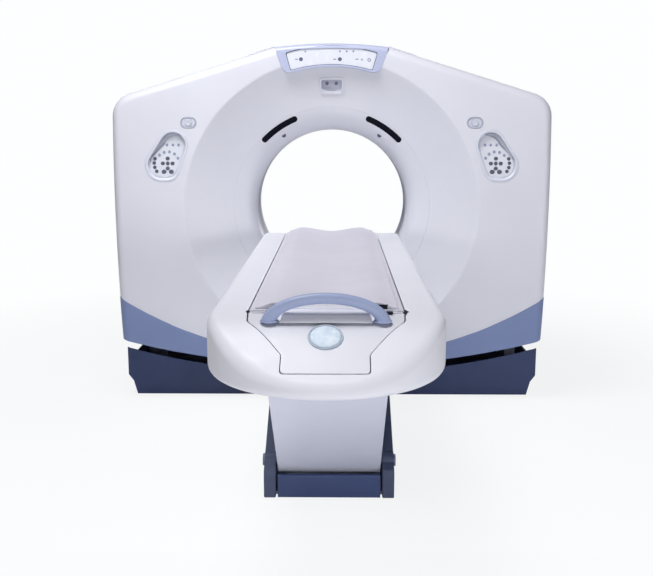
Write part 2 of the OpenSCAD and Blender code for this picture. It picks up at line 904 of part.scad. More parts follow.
module lift_screw_housing() {
    y0 = base_y0 - 190;
    color([0.5, 0.52, 0.55]) difference() {
        union() {
            translate([0, y0, screw_z]) rotate([-90, 0, 0]) cylinder(r = 34, h = 160);
            block([-40, y0, screw_z - 36], [40, y0 + 30, screw_z + 30]);
        }
        translate([0, y0 - eps, screw_z]) rotate([-90, 0, 0]) cylinder(r = rod_r + run, h = 145);
    }
}

// Rod with a slotted end that pushes the crank pin
module lift_rod() {
    pin_y = rear_foot_y + crank_c * cos(crank_a);
    neck_y = pin_y + 27;
    color([0.75, 0.76, 0.78]) difference() {
        union() {
            block([-8, pin_y - 20, screw_z - 28], [8, neck_y, screw_z + 28]);
            translate([0, neck_y, screw_z]) rotate([-90, 0, 0])
                cylinder(r = rod_r, h = base_y0 - 70 - neck_y);
        }
        block([-9, pin_y - crank_pin_r - 0.6, screw_z - 16], [9, pin_y + crank_pin_r + 0.6, screw_z + 16]);
    }
}

// Low duct for the cables between the table and the gantry
module floor_duct() {
    color([0.3, 0.34, 0.42]) difference() {
        block([-110, base_y0, 0], [110, -base_half_d - gap, 45]);
        block([-104, base_y0 - eps, -eps], [104, -base_half_d, 39]);
    }
}

// ---- Swing legs ----

// Places a drawing of [across, along] on a leg whose lower pivot is at y
module on_leg(y, x0, x1) {
    translate([0, y, foot_z]) rotate([90 - leg_a, 0, 0]) along_x(x0, x1) children();
}

module leg_arms(y) {
    difference() {
        union() {
            pair() on_leg(y, leg_x, leg_x + arm_t) {
                circle(34);
                translate([0, leg_l]) circle(30);
                translate([-leg_half, 0]) square([2 * leg_half, leg_l]);
            }
            for (k = [0.24, 0.78])
                on_leg(y, -leg_x - eps, leg_x + eps) translate([0, leg_l * k]) circle(24);
            children();
        }
        on_leg(y, -leg_x - arm_t - eps, leg_x + arm_t + eps) circle(foot_pin_r + run);
        on_leg(y, -leg_x - arm_t - eps, leg_x + arm_t + eps) translate([0, leg_l]) circle(top_pin_r + run);
    }
}

module front_leg() {
    color([0.5, 0.52, 0.57]) leg_arms(foot_y);
}

module rear_leg() {
    hub = [rear_foot_y, foot_z];
    pin = hub + polar(crank_c, crank_a);
    color([0.5, 0.52, 0.57]) {
        leg_arms(rear_foot_y) {
            rod_x(28, -leg_x - eps, leg_x + eps, hub);
            pair() along_x(10, 22) capsule(hub, 30, pin, 18);
            rod_x(crank_pin_r, -20, 20, pin);
        }
    }
}

module front_leg_cover() {
    w = leg_cover_half;
    t = cover_t;
    length = leg_l + 160;
    color([0.72, 0.73, 0.81]) difference() {
        intersection() {
            difference() {
                on_leg(foot_y, -w, w) {
                    circle(leg_cover_n);
                    translate([-leg_cover_n, 0]) square([leg_cover_n + leg_half, length]);
                }
                on_leg(foot_y, -w + t, w - t) {
                    circle(leg_cover_n - t);
                    translate([-leg_cover_n + t, 0]) square([2 * leg_cover_n, length + eps]);
                }
            }
            block([-w - eps, foot_y - leg_l, 0], [w + eps, foot_y + 60, top_z + 31]);
        }
        on_leg(foot_y, -w - eps, w + eps) circle(foot_pin_r + 1);
    }
}

// ---- Table top ----

module table_frame() {
    y0 = deck_y1 + 395;
    y1 = deck_y0 - 70;
    color([0.42, 0.45, 0.5]) {
        difference() {
            union() {
                pair() block([beam_x, y0, frame_low], [beam_x + beam_w, y1, frame_top]);
                for (y = [y0 + 100, top_y, top_y + leg_gap, y1 - 100])
                    block([-beam_x - 1, y - 40, frame_low], [beam_x + 1, y + 40, frame_low + 14]);
                pair() for (y = [top_y, top_y + leg_gap]) along_x(beam_x + 4, leg_x - 2 * gap) {
                    translate([y, top_z]) circle(30);
                    translate([y - 30, top_z]) square([60, frame_low - top_z + 10]);
                }
            }
        }
        for (y = [top_y, top_y + leg_gap])
            rod_x(top_pin_r, -leg_x - arm_t, leg_x + arm_t, [y, top_z]);
    }
}

// Plan of the deck, moved inwards by e, with a rounded foot end
module deck_plan(e) {
    a = deck_w / 2 - e;
    b = nose_len - e;
    y = deck_y1 + nose_len;
    polygon(concat([[-a, deck_y0], [-a, y]],
        [for (t = [184 : 4 : 356]) [a * bow(cos(t)), y + b * bow(sin(t))]], [[a, y], [a, deck_y0]]));
}

// Side view of the deck, moved inwards by e: the foot end slopes down
module deck_side(e, low) {
    drop = (slope_y - deck_y1 + eps) * tan(slope_a);
    polygon([[deck_y0 + eps, low], [deck_y0 + eps, deck_top - e],
        [slope_y + e * tan(slope_a / 2), deck_top - e],
        [deck_y1 - eps, deck_top - drop - e / cos(slope_a)], [deck_y1 - eps, low]]);
}

module deck_form(e, low) {
    intersection() {
        translate([0, 0, low]) linear_extrude(deck_t + 50) deck_plan(e);
        along_x(-deck_w, deck_w) deck_side(e, low);
    }
}

// Plan of the foot panel, moved outwards by e
module panel_plan(e) {
    w = cradle_half + e;
    t = tongue_half + e;
    polygon([[-w, cradle_y1 - gap], [-w, cradle_y1 - 70], [-t, cradle_y1 - 250], [-t, panel_y1 - e],
        [t, panel_y1 - e], [t, cradle_y1 - 250], [w, cradle_y1 - 70], [w, cradle_y1 - gap]]);
}

module deck_cover() {
    color([0.91, 0.91, 0.94]) difference() {
        deck_form(0, deck_bottom);
        deck_form(cover_t, deck_bottom - eps);
        translate([0, 0, deck_bottom + 30]) linear_extrude(deck_t + 50) panel_plan(slot_gap);
        block([-cradle_w / 2, cradle_y1 - eps, deck_bottom + 60],
            [cradle_w / 2, deck_y0 + 5, deck_top + 50]);
    }
}

// Flat pan that closes the deck from below, with openings for the lugs
module deck_pan() {
    color([0.82, 0.83, 0.88]) difference() {
        deck_form(cover_t + gap, deck_bottom);
        translate([0, 0, deck_bottom + pan_t]) linear_extrude(2 * deck_t) deck_plan(0);
        pair() for (y = [top_y, top_y + leg_gap])
            block([beam_x - 2, y - 40, deck_bottom - eps], [leg_x + 2, y + 40, deck_bottom + pan_t + eps]);
    }
}

module cradle_rails() {
    color([0.72, 0.73, 0.75]) pair() block([cradle_rail_x, deck_y1 + 405, frame_top],
        [cradle_rail_x + cradle_rail_w, deck_y0 - 80, frame_top + cradle_rail_h]);
}

// Height of the cradle's top at x: a dip between two humps
function cradle_z(x) =
    let (h = cradle_half * 0.68, t = min(abs(x) / h, 1), s = max(abs(x) - h, 0) / (cradle_half - h))
    deck_top + 11 + 9 * (1 - cos(180 * t)) - 7 * (1 - cos(180 * s));

module cradle() {
    rail_top = frame_top + cradle_rail_h;
    x = cradle_rail_x;
    w = cradle_rail_w;
    color([0.86, 0.87, 0.9]) along_y(cradle_y1, deck_y0) polygon(concat(
        [[cradle_half, cradle_low], [-cradle_half, cradle_low]],
        [for (k = [-24 : 24]) [cradle_half * k / 24, cradle_z(cradle_half * k / 24)]]));
    color([0.5, 0.52, 0.55]) pair() difference() {
        block([x - 8, cradle_y1 + 50, rail_top - 18], [x + w + 8, cradle_y1 + 470, cradle_low]);
        block([x - gap, cradle_y1, rail_top - 30], [x + w + gap, cradle_y1 + 500, rail_top + gap]);
    }
}

module latch_block() {
    y0 = handle_y + 20;
    z = deck_top;
    difference() {
        along_x(-135, 135) polygon([[y0, z - 2], [y0, z], [y0 + 14, z + 26], [y0 + 24, z + 30],
            [y0 + 74, z + 30], [y0 + 80, z], [y0 + 80, z - 2]]);
        block([-136, y0 + 34, z + 24], [136, y0 + 38, z + 40]);
        block([-8, y0 - eps, z + 12], [8, y0 + 24, z + 40]);
    }
}

module foot_panel() {
    drop = (slope_y - panel_y1) * tan(slope_a);
    color([0.86, 0.87, 0.92]) {
        intersection() {
            translate([0, 0, deck_bottom]) linear_extrude(deck_t + 50) panel_plan(0);
            along_x(-cradle_w, cradle_w) polygon([[cradle_y1, deck_top], [slope_y, deck_top],
                [panel_y1 - 5, deck_top - drop - 3], [panel_y1 - 5, deck_top - drop - panel_t - 6],
                [slope_y, deck_top - panel_t], [cradle_y1, deck_top - panel_t]]);
        }
        latch_block();
    }
}

// Arched handle: one arc of round bar with a foot at each end
module handle() {
    half_a = asin(handle_half / handle_arc_r);
    z = deck_top - 4 + handle_rise - handle_arc_r;
    color([0.59, 0.64, 0.77]) difference() {
        union() {
            translate([0, handle_y, z]) rotate([90, 0, 0]) rotate([0, 0, 90 - half_a - 6])
                rotate_extrude(angle = 2 * half_a + 12) translate([handle_arc_r, 0]) circle(handle_r);
        }
        block([-300, handle_y - 60, deck_top - 120], [300, handle_y + 60, deck_top]);
    }
}

// Plain round disc on the sloping foot panel
module badge() {
    y = slope_y - 52;
    color([0.75, 0.83, 0.92]) translate([0, y, deck_top - 52 * tan(slope_a)]) rotate([slope_a, 0, 0]) {
        cylinder(r = 44, h = 4);
        difference() {
            cylinder(r = 48.5, h = 2.5);
            translate([0, 0, -eps]) cylinder(r = 44, h = 5);
        }
    }
}

gantry_base_frame();
gantry_feet();
base_covers();
base_side_covers();
tilt_towers();
tilt_bearings();
tilt_gearbox();
tilt_frame();
trunnions();
cover_rails();
gantry_front_cover();
gantry_rear_cover();
gantry_side_covers();
gantry_top_cover();
lower_bands();
front_flare();
front_bore_liner();
scan_window();
rear_bore_liner();
display_bezel();
display_panel();
intercom();
laser_windows();
control_bezels();
control_membranes();
call_button_left();
call_button_right();
bearing_outer_race();
brush_block();
rotor_motor();
motor_pulley();
rotor_belt();
rotor_disc();
bearing_inner_race();
bearing_rollers();
slip_ring();
xray_tube();
collimator();
high_voltage_unit();
heat_exchanger();
counterweight();
detector_arc();
table_base();
table_cheeks();
kick_cover();
pivot_pins();
lift_screw_housing();
lift_rod();
floor_duct();
front_leg();
front_leg_cover();
rear_leg();
table_frame();
deck_cover();
deck_pan();
cradle_rails();
cradle();
foot_panel();
handle();
badge();
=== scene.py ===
import json
from math import acos, asin, atan, atan2, ceil, copysign, cos, degrees, hypot, pi, radians, sin, sqrt, tan

import bmesh
import bpy
import numpy as np
from mathutils import Matrix, Vector, geometry, kdtree


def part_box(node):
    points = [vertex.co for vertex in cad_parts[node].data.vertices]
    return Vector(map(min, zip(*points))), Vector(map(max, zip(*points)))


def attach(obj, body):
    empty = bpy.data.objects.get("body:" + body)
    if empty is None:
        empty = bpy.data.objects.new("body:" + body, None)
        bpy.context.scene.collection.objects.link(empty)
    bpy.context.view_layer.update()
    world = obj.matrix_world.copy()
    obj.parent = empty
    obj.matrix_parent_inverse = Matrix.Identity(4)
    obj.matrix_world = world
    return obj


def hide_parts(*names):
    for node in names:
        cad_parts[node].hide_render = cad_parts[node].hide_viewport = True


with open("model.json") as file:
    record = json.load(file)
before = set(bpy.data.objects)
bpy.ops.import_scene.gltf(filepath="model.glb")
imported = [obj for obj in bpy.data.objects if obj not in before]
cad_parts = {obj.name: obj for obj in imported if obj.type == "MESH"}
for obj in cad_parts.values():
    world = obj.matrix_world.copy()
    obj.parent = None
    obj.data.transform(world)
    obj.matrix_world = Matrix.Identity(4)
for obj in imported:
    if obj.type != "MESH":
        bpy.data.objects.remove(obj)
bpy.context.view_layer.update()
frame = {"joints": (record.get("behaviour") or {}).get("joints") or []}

MM = 0.001

# ---- Sizes taken from the frame, in metres ----

side_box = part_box("gantry_side_covers")
front_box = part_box("gantry_front_cover")
rear_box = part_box("gantry_rear_cover")
deck_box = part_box("deck_cover")
cradle_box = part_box("cradle")
joints = {j["name"]: j for j in frame["joints"]}

half_w = side_box[1].x
top_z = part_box("gantry_top_cover")[1].z
y_front = front_box[0].y
y_rear = rear_box[1].y
front_split = front_box[1].y
rear_split = rear_box[0].y
iso_z = joints["gantry_tilt"]["pos_m"][2]

# ---- Named sizes of the gantry ----

seam = 0.8 * MM
skin_t = 5 * MM
face_r = 4.0                 # bow of the front and rear faces
shoulder_a = radians(17.3)
corner_r = 0.12
crown_half = 0.3
crown_sag = 0.02
crown_r = (crown_half ** 2 + crown_sag ** 2) / (2 * crown_sag)
top_half = 0.62
edge_r = 0.046               # soft edge between the faces and the sides
white_r = 2.0                # lower edge of the white covers
white_z = 0.24
low_r = 4.24                 # lower edge of the blue bands
low_z = 0.193
bore_r = 0.4
flare_r = 0.755
join_r = 0.515
join_y = y_front + 0.127
rear_hole_r = 0.626
rear_rim_y = y_rear - 0.05
rear_throat_y = -0.08
scan_front = -0.2
scan_rear = -0.1

corner_x = half_w - corner_r
shoulder_d = sin(shoulder_a) * crown_half + cos(shoulder_a) * (top_z - crown_sag)
corner_z = (shoulder_d - corner_r - sin(shoulder_a) * corner_x) / cos(shoulder_a)


def sag(r, d):
    """How far an arc of radius r lies back at the distance d from its foremost point."""
    return r - sqrt(r * r - d * d)


def face_y(z):
    return y_front + sag(face_r, z - iso_z)


def rear_y(z):
    return y_rear - sag(face_r, z - iso_z)


def white_edge(x):
    return white_z + sag(white_r, x)


def low_edge(x):
    return low_z + sag(low_r, x)


def on_face(loop, y):
    """A drawing laid y millimetres behind the front face."""
    return [(x, face_y(z) + y * MM, z) for x, z in loop]


def spread(a, b, n):
    return [a + (b - a) * k / n for k in range(n + 1)]


def polar(r, a, centre=(0.0, 0.0)):
    return (centre[0] + r * cos(a), centre[1] + r * sin(a))


def smooth_max(a, b, k):
    """The larger value, with a soft change within k of where they meet."""
    h = max(k - abs(a - b), 0.0) / k
    return max(a, b) + h * h * k / 4


def smooth_min(a, b, k):
    return -smooth_max(-a, -b, k)


# ---- Materials ----


def put(tree, node, socket, value):
    """Gives a node's input a plain value, or links an output to it."""
    if isinstance(value, bpy.types.NodeSocket):
        tree.links.new(value, node.inputs[socket])
    else:
        node.inputs[socket].default_value = value


def add(tree, kind, output, inputs, **settings):
    """Adds a node, fills its inputs and returns the output that is used."""
    made = tree.nodes.new(kind)
    for key, value in settings.items():
        setattr(made, key, value)
    for socket, value in inputs.items():
        put(tree, made, socket, value)
    return made.outputs[output]


class Shader:
    """The node tree of one material, with short calls for what most of them use."""

    def __init__(self, name):
        self.material = bpy.data.materials.new(name)
        self.material.use_nodes = True
        self.tree = self.material.node_tree
        self.main = self.tree.nodes["Principled BSDF"]
        self.place = self.node("ShaderNodeTexCoord", "Object", {})

    def node(self, kind, output, inputs, **settings):
        return add(self.tree, kind, output, inputs, **settings)

    def stretched(self, scale):
        return self.node("ShaderNodeMapping", "Vector", {"Scale": scale, "Vector": self.place})

    def noise(self, scale, detail=3.0, place=None):
        inputs = {"Scale": scale, "Detail": detail, "Vector": place or self.place}
        return self.node("ShaderNodeTexNoise", "Fac", inputs)

    def cells(self, scale):
        return self.node("ShaderNodeTexVoronoi", "Distance", {"Scale": scale, "Vector": self.place})

    def ranged(self, value, from_low, from_high, low, high):
        return self.node("ShaderNodeMapRange", "Result", {
            "Value": value, "From Min": from_low, "From Max": from_high, "To Min": low, "To Max": high})

    def between(self, value, low, high):
        return self.ranged(value, 0.25, 0.75, low, high)

    def blend(self, value, dark, light):
        ramp = self.tree.nodes.new("ShaderNodeValToRGB")
        for element, colour, at in zip(ramp.color_ramp.elements, (dark, light), (0.3, 0.7)):
            element.color = (*colour, 1)
            element.position = at
        put(self.tree, ramp, "Fac", value)
        return ramp.outputs["Color"]

    def bump(self, value, depth, strength=1.0, under=None):
        inputs = {"Height": value, "Distance": depth, "Strength": strength}
        if under is not None:
            inputs["Normal"] = under
        return self.node("ShaderNodeBump", "Normal", inputs)

    def done(self, colour, rough, normal, **others):
        """Fills the main shader and returns the material. coat_weight stands for Coat Weight, and so on."""
        for socket, value in (("Base Color", colour), ("Roughness", rough), ("Normal", normal)):
            put(self.tree, self.main, socket, value)
        for name, value in others.items():
            put(self.tree, self.main, name.replace("_", " ").title().replace("Ior", "IOR"), value)
        return self.material


def linear(colour):
    """A colour given as 0 to 255 screen values, as the shader wants it."""
    return tuple(((c / 255 + 0.055) / 1.055) ** 2.4 if c > 10 else c / 255 / 12.92 for c in colour)


def scaled(colour, k):
    return tuple(c * k for c in colour)


def moulded(name, colour, rough, change=0.03, grain=900, depth=0.05, coat=0.0, spread_r=0.07, shine=0.5):
    """Moulded or painted plastic: slow clouding of the colour, a fine grain and uneven gloss."""
    s = Shader(name)
    base = linear(colour)
    cloud = s.blend(s.noise(2.2, 4), scaled(base, 1 - change), scaled(base, 1 + change * 0.4))
    gloss = s.between(s.noise(14, 5), rough - spread_r, rough + spread_r)
    slow = s.bump(s.noise(35, 2), 0.05 * MM)
    fine = s.bump(s.noise(grain, 2), depth * MM, under=slow)
    return s.done(cloud, gloss, fine, coat_weight=coat, coat_roughness=0.25, specular_ior_level=shine)


def brushed(name, colour, rough, along):
    """Machined or brushed metal, with its lines along one axis."""
    s = Shader(name)
    base = linear(colour)
    stretch = [1800.0, 1800.0, 1800.0]
    stretch[along] = 12.0
    lines = s.noise(1, 4, s.stretched(stretch))
    cloud = s.blend(s.noise(9, 4), scaled(base, 0.86), scaled(base, 1.05))
    return s.done(cloud, s.between(lines, rough - 0.09, rough + 0.12), s.bump(lines, 0.03 * MM), metallic=1.0)


def coated(name, colour, rough=0.55):
    """Powder coat: a pebbled skin over metal, a little dusty in patches."""
    s = Shader(name)
    base = linear(colour)
    dust = s.noise(6, 6)
    cloud = s.blend(dust, scaled(base, 0.85), scaled(base, 1.15))
    return s.done(cloud, s.between(dust, rough - 0.08, rough + 0.12), s.bump(s.cells(420), 0.12 * MM, 0.6))


white = moulded("cover_white_satin", (223, 224, 235), 0.42, coat=0.15)
blue = moulded("band_blue_satin", (124, 140, 184), 0.42, change=0.08, grain=700)
navy = moulded("base_navy_textured", (46, 62, 106), 0.55, change=0.14, grain=480, depth=0.16)
navy_dark = moulded("cheek_navy_textured", (60, 70, 98), 0.58, change=0.16, grain=480, depth=0.16)
deck_paint = moulded("deck_satin", (228, 229, 239), 0.52)
cradle_paint = moulded("cradle_composite", (216, 213, 226), 0.48, change=0.05, grain=520, depth=0.08)
panel_paint = moulded("foot_panel_satin", (218, 219, 229), 0.42, change=0.03)
handle_paint = moulded("handle_soft_touch", (156, 168, 204), 0.5, change=0.07, grain=650, depth=0.1)
lavender = moulded("bezel_lavender", (186, 193, 222), 0.38, change=0.05, coat=0.2)
screen_paint = moulded("display_gloss", (232, 235, 246), 0.25, change=0.03, coat=0.5, depth=0.01)
rim_paint = moulded("control_rim_pale", (214, 217, 232), 0.4, change=0.03, coat=0.2)
film = moulded("membrane_film", (224, 227, 237), 0.35, change=0.04, depth=0.02)
# the call buttons' own grey, also used as the painted shade on the pads' floors
grey_and_painted_shade = moulded("button_grey", (176, 180, 196), 0.45, change=0.06)
leg_paint = moulded("leg_lilac", (194, 197, 212), 0.5, change=0.06, grain=600, depth=0.1)
pan_paint = moulded("pan_pale", (206, 208, 222), 0.5, change=0.05)
key_paint = moulded("key_dark", (84, 88, 108), 0.5, change=0.2, grain=1500)
badge_rim = moulded("badge_rim_grey", (168, 180, 198), 0.4, change=0.05, coat=0.2)
pocket_paint = moulded("intercom_pocket_grey", (193, 197, 213), 0.55, change=0.06)
# printed dark ink, also the painted shade in the groove round the display's panel
ink_and_groove_shade = moulded("printed_ink", (92, 100, 128), 0.5, change=0.12)
ink_soft = moulded("printed_ink_soft", (150, 158, 186), 0.5, change=0.1)
dark_glass = moulded("laser_window", (8, 10, 26), 0.5, change=0.2, depth=0.01, spread_r=0.04, shine=0.08)
# painted shade: dark fill for gaps and holes where shade falls
painted_shadow_dark = moulded("shadow_gap", (36, 39, 54), 0.8, change=0.2, shine=0.2)
pin_paint = moulded("pin_cap_blue_grey", (110, 112, 140), 0.45, change=0.1)
frame_grey = coated("frame_powder_coat", (98, 104, 120))
cast_paint = coated("cast_housing", (82, 86, 100), 0.5)
alloy = brushed("machined_alloy", (176, 180, 188), 0.38, 0)
steel = brushed("bright_steel", (190, 192, 198), 0.25, 0)
brass = brushed("slip_ring_brass", (206, 176, 112), 0.3, 1)
rubber = moulded("rubber_black", (34, 34, 38), 0.75, change=0.3, grain=600, depth=0.2)


def badge_material():
    """Pale blue lens of the round badge: cloudy, with shallow cells in its surface."""
    s = Shader("badge_lens")
    cloud = s.blend(s.noise(38, 5), linear((184, 202, 224)), linear((222, 233, 243)))
    return s.done(cloud, s.between(s.noise(60, 3), 0.42, 0.58), s.bump(s.cells(90), 0.2 * MM, 0.5))


badge_lens = badge_material()


def film_material():
    """Clear ring that the beam passes through: a translucent satin film."""
    s = Shader("clear_scan_film")
    cloud = s.blend(s.noise(30, 4), linear((186, 194, 208)), linear((206, 213, 224)))
    gloss = s.between(s.noise(25, 3), 0.3, 0.45)
    return s.done(cloud, gloss, s.bump(s.noise(500, 2), 0.03 * MM), transmission_weight=0.25)


scan_film = film_material()

# ---- Mesh helpers ----


def linked(name, data):
    """A new object that stands in the scene."""
    made = bpy.data.objects.new(name, data)
    bpy.context.scene.collection.objects.link(made)
    return made


def mesh_piece(name, points, faces, material):
    mesh = bpy.data.meshes.new(name)
    mesh.from_pydata([tuple(map(float, p)) for p in points], [], faces)
    mesh.validate()
    mesh.polygons.foreach_set("use_smooth", [True] * len(mesh.polygons))
    mesh.materials.append(material)
    mesh.update()
    return linked(name, mesh)


def thicken(piece, t, offset):
    m = piece.modifiers.new("thickness", "SOLIDIFY")
    m.thickness = t
    m.offset = offset
    m.use_even_offset = False


def soften(piece, width, segments=2, angle=35):
    m = piece.modifiers.new("soft_edges", "BEVEL")
    m.width = width
    m.segments = segments
    m.limit_method = "ANGLE"
    m.angle_limit = radians(angle)
    m.harden_normals = False
    w = piece.modifiers.new("even_shading", "WEIGHTED_NORMAL")
    w.keep_sharp = True


def settle(piece, body, slot, *nodes):
    """Sets what a piece rides on and hides the CAD nodes it replaces. slot is not used."""
    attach(piece, body)
    if nodes:
        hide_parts(*nodes)
    return piece


class Surface:
    """Points and faces of one piece, gathered strip by strip."""

    def __init__(self):
        self.points = []
        self.faces = []

    def add(self, p):
        self.points.append(p)
        return len(self.points) - 1

    def row(self, pts):
        return [self.add(p) for p in pts]

    def at(self, row):
        return [self.points[k] for k in row]

    def join(self, a, b, closed=False, flip=False):
        n = len(a)
        for k in range(n if closed else n - 1):
            q = (a[k], a[(k + 1) % n], b[(k + 1) % n], b[k])
            self.faces.append(q[::-1] if flip else q)

    def rows(self, rows, closed=False, flip=False, ring=False):
        """Adds rows and joins each to the next. closed makes them loops, ring joins the last to the first."""
        made = [self.row(r) for r in rows]
        for a, b in zip(made, made[1:] + made[:1] if ring else made[1:]):
            self.join(a, b, closed, flip)
        return made

    def onward(self, last, rows, closed=False, flip=False):
        """Adds rows that go on from a row that is there, and returns the last one."""
        for points in rows:
            row = self.row(points)
            self.join(last, row, closed, flip)
            last = row
        return last

    def cap(self, row, flip=False):
        self.faces.append(tuple(row[::-1] if flip else row))

    def shell(self, rows, flip=False):
        """Closed rows with a cap at each end."""
        made = self.rows(rows, closed=True)
        self.cap(made[0], flip)
        self.cap(made[-1], not flip)

    def piece(self, name, material, thick=0.0, soft=None, offset=-1.0):
        """The piece itself. A skin is thickened, anything else is a closed shell; soft is for soften."""
        made = mesh_piece(name, self.points, self.faces, material)
        if thick:
            thicken(made, thick, offset)
        else:
            fix_normals(made)
        if soft:
            soften(made, *soft)
        return made


def inside(points, outer, holes=()):
    """Which of the points lie inside the outer loop and outside the holes."""
    p = np.asarray(points, float)
    kept = np.ones(len(p), bool)
    for loop in (outer, *holes):
        q = np.asarray(loop, float)
        odd = np.zeros(len(p), bool)
        for a, b in zip(q, np.roll(q, -1, 0)):
            crosses = (a[1] > p[:, 1]) != (b[1] > p[:, 1])
            if crosses.any():
                x = a[0] + (p[:, 1] - a[1]) * (b[0] - a[0]) / (b[1] - a[1] + 1e-30)
                odd ^= crosses & (p[:, 0] < x)
        kept &= odd if loop is outer else ~odd
    return kept


def nearest(points):
    """A function that gives the distance from a point to the nearest of the points."""
    tree = kdtree.KDTree(len(points))
    for k, p in enumerate(points):
        tree.insert((*p, 0), k)
    tree.balance()
    return lambda p: tree.find((*p, 0))[2]


grid_room = 0.6              # shares of the step that points keep away from the edges
extra_room = 0.25


def fill(surface, outer, holes, step, lift, extra=(), flip=False):
    """Fills a flat region with even triangles and lifts it to its place.
    Returns the rows of its outer loop and of its holes."""
    loops = [outer, *holes]
    edge_points = [tuple(p) for loop in loops for p in loop]
    low = np.min(outer, axis=0)
    high = np.max(outer, axis=0)
    grid = [tuple(p) for p in extra]
    rise = step * sqrt(3) / 2
    for j in range(int((high[1] - low[1]) / rise) + 1):
        shift = step / 2 if j % 2 else 0
        for i in range(int((high[0] - low[0]) / step) + 1):
            grid.append((low[0] + i * step + shift, low[1] + (j + 0.5) * rise))
    keep = inside(grid, outer, holes)
    from_edge = nearest(edge_points)
    inner = []
    for k, p in enumerate(grid):
        if keep[k] and from_edge(p) > (extra_room if k < len(extra) else grid_room) * step:
            inner.append(p)
    if len(extra):
        from_extra = nearest(extra)
        known = set(map(tuple, extra))
        inner = [p for p in inner if p in known or from_extra(p) > grid_room * step]
    points = [Vector(p) for p in edge_points + inner]
    runs = []
    for loop in loops:
        start = runs[-1][-1] + 1 if runs else 0
        runs.append(range(start, start + len(loop)))
    edges = [pair for run in runs for pair in zip(run, [*run[1:], run[0]])]
    verts, _, tris, source, _, _ = geometry.delaunay_2d_cdt(points, edges, [], 0, 1e-9)
    flat = np.array([tuple(v) for v in verts])
    tri = np.array(tris)
    index = [surface.add(lift(*p)) for p in flat]
    where = {f: index[k] for k, sources in enumerate(source) for f in sources}
    for t in tri[inside(flat[tri].mean(axis=1), outer, holes)]:
        q = tuple(index[k] for k in t)
        surface.faces.append(q[::-1] if flip else q)
    return [[where[k] for k in run] for run in runs]


def rounded(points, radii, n=6, closed=True):
    """A path with its corners rounded to the given radii."""
    out = []
    count = len(points)
    for k, p in enumerate(points):
        r = radii[k] if isinstance(radii, (list, tuple)) else radii
        if r <= 0 or (not closed and k in (0, count - 1)):
            out.append(tuple(p))
            continue
        p = Vector(p)
        a = (Vector(points[k - 1]) - p).normalized()
        b = (Vector(points[(k + 1) % count]) - p).normalized()
        half = a.angle(b) / 2
        cut = r / tan(half)
        start = p + a * cut
        end = p + b * cut
        centre = p + (a + b).normalized() * (r / sin(half))
        u = start - centre
        v = end - centre
        turn = u.angle(v)
        for i in range(n + 1):
            t = i / n
            q = (u * sin((1 - t) * turn) + v * sin(t * turn)) / sin(turn)
            out.append(tuple(centre + q))
    return out


def resampled(path, step, closed=True):
    """Adds points along a path so that none of its edges is longer than step."""
    out = []
    n = len(path)
    for k in range(n if closed else n - 1):
        a = Vector(path[k])
        b = Vector(path[(k + 1) % n])
        parts = max(1, ceil((b - a).length / step))
        out += [tuple(a.lerp(b, i / parts)) for i in range(parts)]
    if not closed:
        out.append(tuple(path[-1]))
    return out


def shifted(loop, e):
    """A closed counter-clockwise loop moved inwards by e."""
    n = len(loop)
    out = []
    for k in range(n):
        a = Vector(loop[k - 1])
        p = Vector(loop[k])
        b = Vector(loop[(k + 1) % n])
        d1 = (p - a).normalized()
        d2 = (b - p).normalized()
        n1 = Vector((-d1.y, d1.x))
        n2 = Vector((-d2.y, d2.x))
        m = (n1 + n2).normalized()
        out.append(tuple(p + m * (e / max(m.dot(n1), 0.4))))
    return out


def band_loop(circles, n=14):
    """A taut band over circles [x, z, r], counter-clockwise."""
    def normal(p, q):
        d = hypot(q[0] - p[0], q[1] - p[1])
        return atan2(q[1] - p[1], q[0] - p[0]) - acos((p[2] - q[2]) / d)

    out = []
    count = len(circles)
    for k, c in enumerate(circles):
        a = normal(circles[k - 1], c)
        b = normal(c, circles[(k + 1) % count])
        sweep = (b - a) % (2 * pi)
        out += [polar(c[2], a + sweep * i / n, c[:2]) for i in range(n + 1)]
    return out


def box_loop(x0, x1, y0, y1):
    return [(x0, y0), (x1, y0), (x1, y1), (x0, y1)]


def circle_loop(r, n, centre=(0.0, 0.0)):
    return [polar(r, 2 * pi * k / n, centre) for k in range(n)]


def prism(name, outline, place, low, high, material, soft=2 * MM, segments=3):
    """A drawing pushed from low to high along the third axis of place, with soft edges."""
    s = Surface()
    s.shell([[place(u, v, w) for u, v in outline] for w in (low, high)], flip=True)
    return s.piece(name, material, soft=(soft, segments))


def fix_normals(piece):
    """Turns a closed shell's faces outwards."""
    bm = bmesh.new()
    bm.from_mesh(piece.data)
    bmesh.ops.recalc_face_normals(bm, faces=bm.faces)
    bm.to_mesh(piece.data)
    bm.free()


def on_x(u, v, w):
    return (w, u, v)


def on_y(u, v, w):
    return (u, w, v)


def on_z(u, v, w):
    return (u, v, w)


def revolved(name, profile, material, n=160, centre=(0.0, iso_z)):
    """A closed drawing of [radius, y] turned about the bore's axis."""
    s = Surface()
    s.rows([[(x, y, z) for x, z in circle_loop(r, n, centre)] for r, y in profile], closed=True, ring=True)
    return s.piece(name, material)


def merged(name, pieces):
    """Several meshes as one piece, with their modifiers applied and materials kept."""
    graph = bpy.context.evaluated_depsgraph_get()
    bm = bmesh.new()
    materials = []
    for p in pieces:
        done = bpy.data.meshes.new_from_object(p.evaluated_get(graph))
        slots = []
        for m in done.materials:
            if m not in materials:
                materials.append(m)
            slots.append(materials.index(m))
        for f in done.polygons:
            f.material_index = slots[f.material_index] if slots else 0
        done.transform(p.matrix_world)
        bm.from_mesh(done)
        bpy.data.meshes.remove(done)
    mesh = bpy.data.meshes.new(name)
    bm.to_mesh(mesh)
    bm.free()
    for m in materials:
        mesh.materials.append(m)
    for p in pieces:
        old = p.data
        bpy.data.objects.remove(p)
        bpy.data.meshes.remove(old)
    return linked(name, mesh)


# ---- Gantry covers ----

